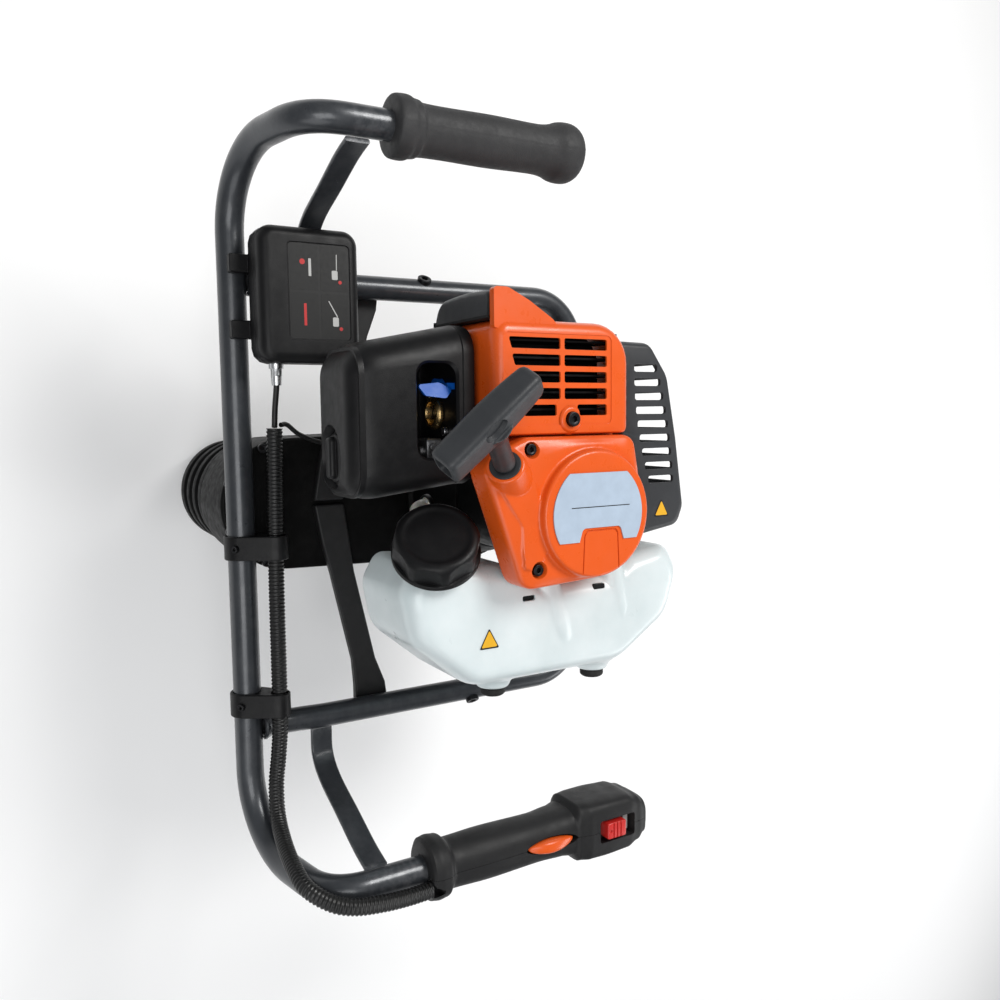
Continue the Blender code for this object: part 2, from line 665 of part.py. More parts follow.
def recoil_handle():
    """Tee grip on a short stem, its axis along the pull."""
    centre = ROPE_EXIT + PULL * 71
    along = Vector((-0.574, 0.819, 0.0))
    along = (along - PULL * along.dot(PULL)).normalized()
    side = PULL.cross(along)
    rings = []
    for t, h, w in ((-48, 9, 8), (-44, 13, 12), (-22, 13, 11.5), (0, 14, 12), (22, 13, 11.5), (44, 12.5, 11.5),
                    (48, 9, 8)):
        rings.append([centre + along * t + PULL * (h * cos(2 * pi * k / 12)) + side * (w * sin(2 * pi * k / 12))
                      for k in range(12)])
    bar = loft("recoil_handle", rings, "graphite")
    stem = turned("stem", ROPE_EXIT + PULL * 6, PULL, [(0, 8), (4, 12.5), (10, 12.5), (18, 9.5), (48, 9.0),
                                                       (62, 10.5)], 14)
    return paint(join(bar, [stem]), "graphite")


# ------------------------------------------------------------------ intake
def air_filter():
    x0, x1, z0, z1 = AF
    y_in, y_mid, y_out = -92.6, -104.0, -200.0

    def o(i, lean=0.0):
        pts = rect(x0, x1, z0, z1, 22, i)
        return [(p[0], p[1]) for p in pts]
    base = loft("air_filter_base", [at_y(o(0), y_mid), at_y(o(0), y_in), ], "black")
    ear = box("ear", x1 - 12, x1 + 29, y_mid, y_in, 98, 126)
    join(base, [ear])
    cut(base, [rod((-85, y_mid - 5, 108), (-85, y_in + 5, 108), 11, 16)])
    paint(base, "black")
    cover = loft("air_filter_cover", [at_y(o(2.6), y_out + 5), at_y(o(2.6), y_mid - GAP), at_y(o(0), y_mid - GAP),
                                      at_y(o(0), y_out + 14), at_y(o(3), y_out + 4), at_y(o(10), y_out)], "black")
    cut(cover, [box("window", -124, -46, -152, y_mid + 4, 152, 200),
                turned("recess", (-50, -203, 132), (0, 1, 0), [(0, 24), (8, 22)], 20)])
    paint(cover, "black")
    knob = turned("filter_knob", (-50, -195 + 0.2 - 6, 132), (0, 1, 0), [(0, 15), (2, 18), (5.6, 18)], 16, "graphite")
    bulb = turned("primer_bulb", (0.5, y_mid - GAP, 112), (0, -1, 0),
                  [(0, 12), (3, 12), (3.2, 10.5), (10, 9.5), (15, 6.5), (17, 2.5)], 14, "clear")
    return base, cover, knob, bulb


def carburettor():
    body = box("carburettor", -105, -65, -92.3 + GAP, -42, 88, 128, "alloy")
    flange = box("flange", -108, -62, -48, -41.5, 82, 130.2)
    stack = rod((-85, -90, 108), (-85, -103, 108), 10.6, 14)
    join(body, [flange, stack])
    paint(body, "alloy")
    lever = turned("throttle_lever", (-85, -68, 128 + GAP), (0, 0, 1), [(0, 5), (9, 5)], 12, "steel")
    arm = box("arm", -89, -60, -71, -65, 131, 133.5)
    join(lever, [arm])
    paint(lever, "steel")
    choke = box("choke_lever", -110, -104, -111.5, -104.6, 140, 172, "blue")
    pad = box("pad", -116, -98, -134, -107, 166, 170)
    hub = rod((-107, -111.5, 143), (-107, -104.6, 143), 7, 12)
    join(choke, [pad, hub])
    return body, lever, paint(choke, "blue")


# ------------------------------------------------------------------ exhaust
def exhaust():
    can = box("muffler", -112, -24, 66, 94, 78, 150)
    cut(can, [box("hollow", -109.5, -26.5, 68.5, 91.5, 80.5, 147.5), rod((-84, 60, 105), (-84, 80, 105), 11, 14)])
    paint(can, "steel")
    corners = [(-150, 50, 6), (-146, 98, 14), (-60, 122, 20), (4, 138, 14), (24, 130, 14), (32, 84, 12), (34, 62, 4),
               (-66, 62, 2), (-70, 50, 2)]

    def o(k):
        cx, cy = -60.0, 86.0
        pts = rounded(corners, 2)
        return [(cx + (p[0] - cx) * (1 - k / 88.0), cy + (p[1] - cy) * (1 - k / 40.0)) for p in pts]
    cover = loft("muffler_cover", [at(o(2.6), 169.5), at(o(2.6), 64), at(o(0), 64), at(o(0), 168), at(o(1.5), 171.5),
                                   at(o(4), 173)], "graphite")
    tools = []
    for i in range(9):
        x = -128 + 12.6 * i
        tools.append(box("slot", x, x + 7.0, 72, 92 + 2.6 * i, 160, 180))
        tools.append(box("side_slot", x, x + 7.0, 95, 150, 112, 160))
    cut(cover, tools)
    return paint(cover, "graphite")


# ------------------------------------------------------------------ fuel
def tank_outline(i):
    """Saddle outline: two shoulders around the crankcase and a rounded belly."""
    x0, x1, y0, y1 = TANK[:4]
    return rounded([(x0 + i, y0 + 14 + i, 12), (x0 + 24 + i * 0.3, y0 + i, 22), (x0 + 66 - i * 0.5, y0 + 8 + i, 30),
                    (x1 - i, y0 + 62, 36), (x1 - i, y1 - 74, 40), (x1 - 38 - i * 0.6, y1 - 14 - i * 0.8, 30),
                    (x0 + 30, y1 - i, 22), (x0 + 4 + i, y1 - 12 - i, 12), (x0 + 12 + i, 74, 14),
                    (x0 + 28 + i, 48, 14), (x0 + 28 + i, -28, 14), (x0 + 8 + i, -60, 14)], 2)


def fuel_tank():
    z0, z1 = TANK[4], TANK[5]
    body = loft("fuel_tank", [at(tank_outline(9), z0), at(tank_outline(2.5), z0 + 5), at(tank_outline(0), z0 + 14),
                              at(tank_outline(0), z1 - 16), at(tank_outline(3), z1 - 5), at(tank_outline(11), z1)],
                "tank")
    boolean(body, rod(CAP_BASE - CAP_AXIS * 2.4, CAP_BASE + CAP_AXIS * 60, CAP_R + 1.2, 24))
    neck = turned("neck", CAP_BASE - CAP_AXIS * 26, CAP_AXIS, [(0, 27), (23.6, 27), (23.6, 21), (33, 21)], 20)
    stubs = [rod((TANK[1] - 5, y, FOOT_Z), (TANK[1] + FOOT_STUB, y, FOOT_Z), 14.0, 16) for y in FOOT_Y]
    join(body, [neck] + stubs)
    inner = loft("inner", [at(tank_outline(12), z0 + 3), at(tank_outline(3.2), z0 + 14),
                           at(tank_outline(3.2), z1 - 16), at(tank_outline(14), z1 - 3)])
    cut(body, [inner, rod(CAP_BASE - CAP_AXIS * 40, CAP_BASE + CAP_AXIS * 14, 17.5, 20)])
    return paint(body, "tank")


def fuel_cap():
    """Screw cap with eight grip flats and a hollow underside that takes the neck."""
    u, v, w = basis(CAP_AXIS)
    n = 48

    def ring(t, r, dip):
        out = []
        for k in range(n):
            a = 2 * pi * k / n
            q = r - dip * (0.5 + 0.5 * cos(8 * a)) ** 2
            out.append(CAP_BASE + w * t + (u * cos(a) + v * sin(a)) * q)
        return out
    h = CAP_H
    return loft("fuel_cap", [ring(9.0, 22.6, 0), ring(-1.6, 22.6, 0), ring(-1.6, CAP_R, 3.5),
                             ring(h - 6, CAP_R, 3.5), ring(h - 1, CAP_R - 3, 3.0), ring(h, CAP_R - 9, 1.0)], "black")


def tank_feet():
    out = []
    for i, y in enumerate(FOOT_Y):
        out.append(turned(f"tank_foot_{i + 1}", (TANK[1] + FOOT_STUB + GAP, y, FOOT_Z), (1, 0, 0),
                          [(0, 11), (5, 11), (7, 9)], 14, "rubber"))
    return out


# ------------------------------------------------------------------ clutch and gears
def clutch():
    hub = turned("clutch_hub", (0, 0, 22), (0, 0, 1), [(0, 8.4), (0, 30), (16, 30), (16, 8.4)], 20, "steel",
                 closed=True)
    rings = [(10, 31.5), (40, 31.5), (40, 34.5), (7, 34.5), (7, 9.0), (-31, 9.0)]
    drum = turned("clutch_drum", (0, 0, 0), (0, 0, 1), rings, 24, "steel")
    return hub, drum


def clutch_housing():
    """Bell between the gear cover and the crankcase."""
    z0 = CASE_Z1 + 8.6
    prof = [(z0, 60), (z0, 68), (z0 + 8, 68), (z0 + 10, 63), (30, 56), (50, 50), (55.7, 48), (55.7, 9.0), (50, 9.0),
            (48, 40), (28, 50)]
    return turned("clutch_housing", (0, 0, 0), (0, 0, 1), prof, 28, "castblack", closed=True)


def case_outline(inset, n=40):
    """Pear outline of the gear case around the crank axis and the offset output axis."""
    mid = OUT_Y / 2
    return shifted(ray_outline([(0, -mid, 68), (0, OUT_Y - mid, 63)], n, inset), 0, mid)


def gear_case():
    z0, z1 = CASE_Z0, CASE_Z1 - GAP
    body = loft("gear_case", [at(case_outline(4.4), z0 + 7), at(case_outline(4.4), z1), at(case_outline(0), z1),
                              at(case_outline(0), z0 + 6), at(case_outline(5), z0)], "castblack")
    tools = [rod((0, OUT_Y, z0 - 5), (0, OUT_Y, z0 + 12), 16, 20)]
    for y in OFFSETS[1:3]:
        tools.append(rod((0, y, z0 + 3), (0, y, z0 + 12), 7.4, 14))
    tools.append(rod((0, 0, z0 + 3), (0, 0, z0 + 12), 7.4, 14))
    cut(body, tools)
    return paint(body, "castblack")


def gear_cover():
    z0, z1 = CASE_Z1, CASE_Z1 + 8
    body = loft("gear_cover", [at(case_outline(0), z0), at(case_outline(0), z1 - 2), at(case_outline(2), z1)],
                "castblack")
    tools = [rod((0, 0, z0 - 5), (0, 0, z1 + 5), 10.5, 16)]
    for y in OFFSETS[1:]:
        tools.append(rod((0, y, z0 - 5), (0, y, z0 + 4.4), 7.4, 14))
    cut(body, tools)
    return paint(body, "castblack")


def gear_outline(module, teeth, centre_angle, thin=0.22):
    """Stub involute teeth; one tooth is centred on centre_angle."""
    rp = module * teeth / 2
    rb = rp * cos(radians(20))
    ra, rf = rp + 0.8 * module, rp - 1.05 * module

    def inv(r):
        if r <= rb:
            return 0.0
        t = sqrt(r * r / (rb * rb) - 1)
        return t - atan2(t, 1)
    half = pi / (2 * teeth) - thin / rp
    pts = []
    for k in range(teeth):
        c = centre_angle + 2 * pi * k / teeth
        flank = [(r, half + inv(rp) - inv(r)) for r in (ra,)]
        root = half + inv(rp) - (0.0 if teeth > 20 else 0.03)
        for r, a in [(rf, root)] + flank:
            pts.append((r * cos(c - a), r * sin(c - a)))
        for r, a in flank[::-1] + [(rf, root)]:
            pts.append((r * cos(c + a), r * sin(c + a)))
    return pts


def toothed(name, y, z0, z1, module, teeth, angle):
    outline = shifted(gear_outline(module, teeth, angle), 0, y)
    return loft(name, [at(outline, z0), at(outline, z1)])


def gear_train():
    """Pinion shaft, two cluster gears and the output shaft, in mesh at rest."""
    (m1, a1, b1), (m2, a2, b2), (m3, a3, b3) = STAGES
    l1, l2, l3 = LEVELS
    up = pi / 2
    zc = CASE_Z0
    pinion = toothed("drive_pinion", 0, l1[0], l1[1] + 4.4, m1, a1, DOWN)
    join(pinion, [rod((0, 0, zc + 3.4), (0, 0, l1[0] + 1), 7.0, 14)])
    first = toothed("cluster_gear_1", OFFSETS[1], l1[0] + 0.5, l1[1] - 0.5, m1, b1, up + pi / b1)
    join(first, [toothed("p", OFFSETS[1], l2[0], l1[0] + 2, m2, a2, DOWN),
                 rod((0, OFFSETS[1], zc + 3.4), (0, OFFSETS[1], CASE_Z1 + 4), 7.0, 14)])
    second = toothed("cluster_gear_2", OFFSETS[2], l2[0] + 0.5, l2[1] - 0.5, m2, b2, up + pi / b2)
    join(second, [toothed("p", OFFSETS[2], l3[0], l2[0] + 2, m3, a3, DOWN),
                  rod((0, OFFSETS[2], zc + 3.4), (0, OFFSETS[2], CASE_Z1 + 4), 7.0, 14)])
    out = toothed("output_shaft", OUT_Y, l3[0] + 0.5, l3[1] - 0.5, m3, b3, up + pi / b3)
    join(out, [rod((0, OUT_Y, l3[1] - 2), (0, OUT_Y, CASE_Z1 + 4), 7.0, 14),
               rod((0, OUT_Y, SHAFT_END), (0, OUT_Y, l3[0] + 2), 13.0, 20)])
    for ob in (pinion, first, second, out):
        paint(ob, "steel")


def output_housing():
    """Ribbed nose below the gear case that carries the output bearing."""
    prof = [(OUT_Z0, 15.0), (OUT_Z0, 40.0)]
    z = OUT_Z0
    ribs = 4
    pitch = (OUT_Z1 - OUT_Z0) / ribs
    for i in range(ribs):
        r = OUT_R - 1.8 + i * 0.6
        prof += [(z + 0.18 * pitch if i else z + 3, r), (z + 0.62 * pitch, r), (z + 0.72 * pitch, r - 5),
                 (z + 0.96 * pitch, r - 5)]
        z += pitch
    prof += [(OUT_Z1, OUT_R), (OUT_Z1, OUT_R - 12), (OUT_Z0 + 14, OUT_R - 12), (OUT_Z0 + 14, 15.0)]
    return turned("output_housing", (0, OUT_Y, 0), (0, 0, 1), prof, 28, "castblack", closed=True)


def build():
    clear_scene()
    handle_bar()
    guard_loop()
    for side in (-1, 1):
        brace(side)
        mount_arm(side)
    cable_conduit()
    conduit_clip("conduit_clip_upper", 35.0)
    conduit_clip("conduit_clip_lower", 181.0)
    plain_grip()
    grip_shell("grip_shell_inner", -1)
    grip_shell("grip_shell_outer", 1)
    throttle_trigger()
    throttle_lock()
    stop_switch()
    control_box()
    engine_cable()
    crankcase()
    cylinder()
    piston()
    connecting_rod()
    crankshaft()
    flywheel()
    spark_plug()
    cylinder_shroud()
    plug_cover()
    starter_housing()
    starter_screws()
    starter_badge()
    recoil_pulley()
    recoil_spring()
    recoil_rope()
    recoil_handle()
    air_filter()
    carburettor()
    exhaust()
    fuel_tank()
    fuel_cap()
    tank_feet()
    clutch()
    clutch_housing()
    gear_case()
    gear_cover()
    gear_train()
    output_housing()
    shift = Matrix.Translation(Vector((0, -OUT_Y, -SHAFT_END)) * MM)
    for ob in bpy.data.objects:
        ob.data.transform(shift)


build()
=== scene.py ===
"""Looks of the ice auger power head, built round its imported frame.

Pieces are modelled in millimetres in the engine's own frame: the crank axis is at x = y = 0,
z = 0 lies in the plane of the main bar, +Z runs towards the starter and +Y away from the operator.
"""

from contextlib import contextmanager
import json
from math import sin, cos, pi, radians, atan2, sqrt

import bmesh
import bpy
from mathutils import Matrix, Vector

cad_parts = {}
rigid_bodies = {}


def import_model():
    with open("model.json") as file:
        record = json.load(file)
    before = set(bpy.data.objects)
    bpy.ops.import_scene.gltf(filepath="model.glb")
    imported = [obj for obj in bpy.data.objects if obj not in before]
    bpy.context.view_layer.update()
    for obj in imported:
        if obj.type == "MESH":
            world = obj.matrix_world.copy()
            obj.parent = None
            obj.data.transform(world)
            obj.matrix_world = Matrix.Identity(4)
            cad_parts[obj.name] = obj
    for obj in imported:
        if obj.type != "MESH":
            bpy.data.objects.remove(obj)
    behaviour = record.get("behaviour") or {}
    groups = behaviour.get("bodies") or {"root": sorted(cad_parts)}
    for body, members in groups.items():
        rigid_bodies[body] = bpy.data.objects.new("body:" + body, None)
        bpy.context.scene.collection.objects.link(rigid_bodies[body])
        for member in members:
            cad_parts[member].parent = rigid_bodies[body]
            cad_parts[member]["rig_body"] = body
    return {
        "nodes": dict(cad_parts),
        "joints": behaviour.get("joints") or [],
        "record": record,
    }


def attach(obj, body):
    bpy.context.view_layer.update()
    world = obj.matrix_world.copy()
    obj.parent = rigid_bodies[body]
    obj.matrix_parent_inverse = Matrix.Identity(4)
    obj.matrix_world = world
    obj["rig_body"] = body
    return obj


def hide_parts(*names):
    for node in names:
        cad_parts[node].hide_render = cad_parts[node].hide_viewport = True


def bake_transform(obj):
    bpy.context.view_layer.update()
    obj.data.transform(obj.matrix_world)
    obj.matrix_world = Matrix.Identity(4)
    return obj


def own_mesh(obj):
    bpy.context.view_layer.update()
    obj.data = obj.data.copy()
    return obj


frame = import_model()
bpy.context.scene.view_settings.view_transform = "Standard"
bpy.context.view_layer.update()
NODES = frame["nodes"]
SLOT_OF = {s["node"]: s["material_slot"] for s in frame["record"]["subparts"]}

MM = 0.001
X, Y, Z, FRONT = (1, 0, 0), (0, 1, 0), (0, 0, 1), (0, -1, 0)
CRANK_Z = 105.0  # height of the cylinder's axis above the main bar's plane
CRANK = next(j for j in frame["joints"] if j["name"] == "crank_spin")["pos_m"]
ORIGIN = Vector((0.0, CRANK[1] / MM, CRANK[2] / MM - CRANK_Z))

# ---- driving sizes, as in the frame: R radius, X Y Z places, H height ----
BAR_R, BAR_Y, ARM_X, ARM_Z, BAR_STRAIGHT = 12.5, -240.0, 317.0, 131.0, 244.0
LOOP_R, LOOP_X, LOOP_Z, LOOP_END_Y, LOOP_BEND = 11.4, 205.5, 4.0, 125.0, 50.0
CONDUIT_R = 7.3
GRIP_Y0, GRIP_Y1 = -142.0, 40.0  # plain grip, at x = -ARM_X
THR_R, THR_Y0, THR_Y1, TUBE_END = 22.0, -126.0, 113.0, 18.0  # throttle grip, at x = ARM_X
BOX = (-247.0, -130.0, -231.0, -140.0, 20.5)  # control box: x, y ranges, bottom
SHROUD = (-160.0, -66.0, -88.0, 48.0, 95.0, 205.0)  # x, y, z ranges
SHROUD_SCREW = (-79.0, -16.0)
STARTER_Z0, STARTER_Z1, DISC_R = 184.0, 222.0, 57.0
LOBES = [(0, 0, DISC_R), (-38, -84, 17), (44, -57, 16), (-54, -60, 11), (-53, 36, 12)]  # x, y, radius
SCREWS = ((-55.0, -60.0, 208.0), (44.0, -54.0, 208.0))
TAB_Y = 3.0  # middle of the starter's tab
ROPE_EXIT = Vector((-42.0, -86.0, 216.0))
PULL = Vector((-36.5, -40.5, 46.0)).normalized()
AF, AF_Y = (-146.0, -15.0, 96.0, 180.0), (-92.6, -104.0, -200.0)  # filter: x, z ranges; y steps
LATCH = (-50.0, 132.0)  # x, z of its axis
PRIMER_X, PRIMER_Z = 0.5, 112.0
TANK = (36.0, 147.0, -158.0, 131.0, 74.0, 182.0)  # x, y, z ranges
FOOT_Y, FOOT_Z, FOOT_STUB = (-62.0, 46.0), 149.0, 9.0
CAP_AXIS = Vector((-0.70, -0.28, 0.655)).normalized()
CAP_BASE = Vector((29.0, -124.0, 166.0))
CAP_R, CAP_H = 37.0, 24.0
CASE_Z0, CASE_Z1, OUT_Y = -110.0, -26.0, -190.0  # gear case; y of the output axis
OUT_Z0, OUT_R = -232.0, 59.0
GAP = 0.3  # between neighbours


# ------------------------------------------------------------------ materials
class Look:
    """A Principled material with short calls for the usual procedural layers."""

    def __init__(self, name, **sockets):
        self.mat = bpy.data.materials.new(name)
        self.mat.use_nodes = True
        self.tree = self.mat.node_tree
        self.bsdf = self.tree.nodes["Principled BSDF"]
        for key, value in sockets.items():
            self.bsdf.inputs[key.replace("_", " ")].default_value = value
        self.coord = self.tree.nodes.new("ShaderNodeTexCoord").outputs["Object"]

    def node(self, kind, inputs, **props):
        n = self.tree.nodes.new("ShaderNode" + kind)
        for key, value in props.items():
            setattr(n, key, value)
        for key, value in inputs.items():
            if isinstance(value, bpy.types.NodeSocket):
                self.tree.links.new(value, n.inputs[key])
            else:
                n.inputs[key].default_value = value
        return n

    def place(self, stretch):
        return self.node("Mapping", {"Vector": self.coord, "Scale": stretch}).outputs[0]

    def noise(self, scale, detail=3.0, rough=0.55, stretch=None):
        inputs = {"Vector": self.place(stretch) if stretch else self.coord, "Scale": scale,
                  "Detail": detail, "Roughness": rough}
        return self.node("TexNoise", inputs).outputs["Fac"]

    def cells(self, scale):
        return self.node("TexVoronoi", {"Vector": self.coord, "Scale": scale}).outputs["Distance"]

    def ranged(self, value, a, b, lo, hi):
        return self.node("MapRange", {0: value, 1: a, 2: b, 3: lo, 4: hi}).outputs[0]

    def varied(self, scale, detail, lo, hi, a=0.3, b=0.7, rough=0.55):
        """Noise between a and b, spread over lo to hi."""
        return self.ranged(self.noise(scale, detail, rough), a, b, lo, hi)

    def sums(self, op, a, b):
        return self.node("Math", {0: a, 1: b}, operation=op).outputs[0]

    def mixed(self, factor, a, b):
        return self.node("Mix", {0: factor, 6: a, 7: b}, data_type="RGBA").outputs[2]

    def edges(self):
        """1 on convex edges, 0 elsewhere."""
        point = self.node("NewGeometry", {}).outputs["Pointiness"]
        return self.ranged(point, 0.51, 0.60, 0.0, 1.0)

    def upward(self):
        """1 on faces that look up, 0 elsewhere."""
        normal = self.node("NewGeometry", {}).outputs["Normal"]
        z = self.node("SeparateXYZ", {0: normal}).outputs["Z"]
        return self.ranged(z, 0.35, 0.95, 0.0, 1.0)

    def colour(self, socket):
        self.tree.links.new(socket, self.bsdf.inputs["Base Color"])

    def roughness(self, socket):
        self.tree.links.new(socket, self.bsdf.inputs["Roughness"])

    def bump(self, *layers):
        """Layers of (height, depth in metres), laid one on another."""
        last = None
        for height, depth in layers:
            inputs = {"Height": height, "Distance": depth, "Strength": 1.0}
            if last is not None:
                inputs["Normal"] = last
            last = self.node("Bump", inputs).outputs[0]
        self.tree.links.new(last, self.bsdf.inputs["Normal"])


def rgb(c, k=1.0):
    return (min(1.0, c[0] * k), min(1.0, c[1] * k), min(1.0, c[2] * k), 1.0)


def lighter(colour, gain, lift):
    """Shade of a worn edge."""
    return tuple(min(1.0, c * gain + lift) for c in colour)


def toned(look, colour, spread, wear=0.0, wear_colour=None, dust=0.0, scale=22.0):
    """Uneven base colour, with rubbed edges and a little dust on top."""
    tone = look.mixed(look.varied(scale, 5.0, 0.0, 1.0), rgb(colour, 1.0 - spread), rgb(colour, 1.0 + spread))
    if wear:
        rub = look.sums("MULTIPLY", look.edges(), look.varied(160.0, 4.0, 0.0, wear, 0.42, 0.62))
        tone = look.mixed(rub, tone, rgb(wear_colour))
    if dust:
        veil = look.sums("MULTIPLY", look.upward(), look.varied(65.0, 8.0, 0.0, dust, 0.45, 0.8, 0.7))
        tone = look.mixed(veil, tone, rgb((0.42, 0.41, 0.39)))
    look.colour(tone)


def moulded(name, colour, rough, grain, depth, spread=0.10, wear=0.10, dust=0.015, coat=0.0, specular=0.5):
    """Injection-moulded plastic: spark-eroded grain, faint flow marks, rubbed edges."""
    k = Look(name, Specular_IOR_Level=specular, Coat_Weight=coat, Coat_Roughness=0.25)
    toned(k, colour, spread, wear, lighter(colour, 1.7, 0.012), dust)
    k.roughness(k.varied(90.0, 6.0, rough - 0.07, rough + 0.09, 0.25, 0.75))
    k.bump((k.noise(30.0, 2.0), 0.00025), (k.cells(grain), depth), (k.noise(grain * 1.6, 2.0), depth * 0.6))
    return k.mat


def painted(name, colour, rough):
    """Powder paint on steel: orange peel, fine scratches, chips on the edges."""
    k = Look(name, Metallic=0.35, Coat_Weight=0.35, Coat_Roughness=0.18)
    toned(k, colour, 0.10, 0.35, (0.30, 0.30, 0.31), 0.06, 14.0)
    hair = k.noise(900.0, 2.0, 0.5, (0.03, 1.0, 1.0))
    k.roughness(k.sums("ADD", k.varied(60.0, 6.0, rough - 0.08, rough + 0.08, rough=0.65),
                       k.ranged(hair, 0.60, 0.75, 0.0, 0.10)))
    k.bump((k.noise(420.0, 2.0, 0.4), 0.00007), (hair, 0.00001))
    return k.mat


def cast(name, colour, rough, metal, depth=0.00020, specular=0.5):
    """Sand or die casting: pitted grain, soft blotches."""
    k = Look(name, Metallic=metal, Specular_IOR_Level=specular)
    toned(k, colour, 0.10, 0.22, lighter(colour, 1.5, 0.01), 0.01, 30.0)
    k.roughness(k.varied(140.0, 5.0, rough - 0.10, rough + 0.10))
    k.bump((k.noise(520.0, 6.0, 0.7), depth), (k.cells(900.0), depth * 0.5))
    return k.mat


def turned_steel(name, colour=(0.55, 0.55, 0.56), rough=0.30):
    """Machined steel with fine circular tool marks."""
    k = Look(name, Metallic=1.0)
    toned(k, colour, 0.08, scale=40.0)
    marks = k.noise(2600.0, 2.0, 0.5, (0.06, 0.06, 1.0))
    k.roughness(k.ranged(marks, 0.3, 0.7, rough - 0.08, rough + 0.12))
    k.bump((marks, 0.00002))
    return k.mat


def rubbery(name, colour, rough):
    """Matt rubber with a fine leathery grain."""
    k = Look(name, Specular_IOR_Level=0.35)
    grain, depth = 1100.0, 0.00012
    toned(k, colour, 0.12, 0.15, lighter(colour, 1.8, 0.01), 0.03, 60.0)
    k.roughness(k.varied(200.0, 5.0, rough - 0.08, rough + 0.08))
    k.bump((k.cells(grain), depth), (k.noise(grain * 0.5, 4.0), depth))
    return k.mat


def milky(name):
    """Blow-moulded tank: translucent, slightly wavy, with denser patches."""
    k = Look(name, Subsurface_Weight=0.30, Subsurface_Scale=0.012, Specular_IOR_Level=0.45, IOR=1.5,
             Coat_Weight=0.4, Coat_Roughness=0.22)
    k.bsdf.inputs["Subsurface Radius"].default_value = (0.9, 1.0, 1.0)
    patches = k.varied(11.0, 4.0, 0.0, 1.0, 0.35, 0.7)
    k.colour(k.mixed(patches, (0.56, 0.63, 0.64, 1), (0.69, 0.75, 0.76, 1)))
    k.roughness(k.varied(45.0, 5.0, 0.27, 0.42))
    k.bump((k.noise(16.0, 2.0), 0.0010), (k.noise(240.0, 3.0), 0.00006), (k.cells(1500.0), 0.00003))
    return k.mat


def clear_rubber(name):
    """Cloudy, see-through rubber of the primer bulb."""
    k = Look(name, Transmission_Weight=0.55, IOR=1.42, Subsurface_Weight=0.2, Subsurface_Scale=0.005)
    k.colour(k.mixed(k.noise(120.0), (0.80, 0.80, 0.72, 1), (0.90, 0.90, 0.84, 1)))
    k.roughness(k.varied(200.0, 3.0, 0.12, 0.28))
    k.bump((k.noise(600.0), 0.00004))
    return k.mat


def braided(name, colour):
    """Cord of two sets of strands that cross."""
    k = Look(name, Sheen_Weight=0.5, Sheen_Roughness=0.5)
    strands = [k.node("TexWave", {"Vector": k.place((lean, 1.0, 1.0)), "Scale": 420.0, "Distortion": 1.0},
                      bands_direction="DIAGONAL").outputs["Fac"] for lean in (1.0, -1.0)]
    weave = k.sums("MAXIMUM", *strands)
    # The colour is dark in the gaps between the strands and light on their crowns: painted shade and painted
    # highlight of the weave.
    k.colour(k.mixed(weave, rgb(colour, 0.4), rgb(colour, 1.6)))
    k.roughness(k.ranged(weave, 0.0, 1.0, 0.9, 0.65))
    k.bump((weave, 0.0003))
    return k.mat


def flat_print(name, colour, rough=0.45):
    """Printed film or plate: faint mottling and fine texture."""
    k = Look(name, Specular_IOR_Level=0.28)
    toned(k, colour, 0.05, scale=90.0)
    k.roughness(k.varied(300.0, 4.0, rough - 0.05, rough + 0.07))
    k.bump((k.noise(1400.0, 3.0), 0.00002))
    return k.mat


def stage_floor():
    k = Look("floor", Specular_IOR_Level=0.15)
    k.colour(k.mixed(k.noise(3.0, 3.0), (0.93, 0.93, 0.93, 1), (0.96, 0.96, 0.96, 1)))
    k.roughness(k.varied(25.0, 3.0, 0.75, 0.9))
    return k.mat


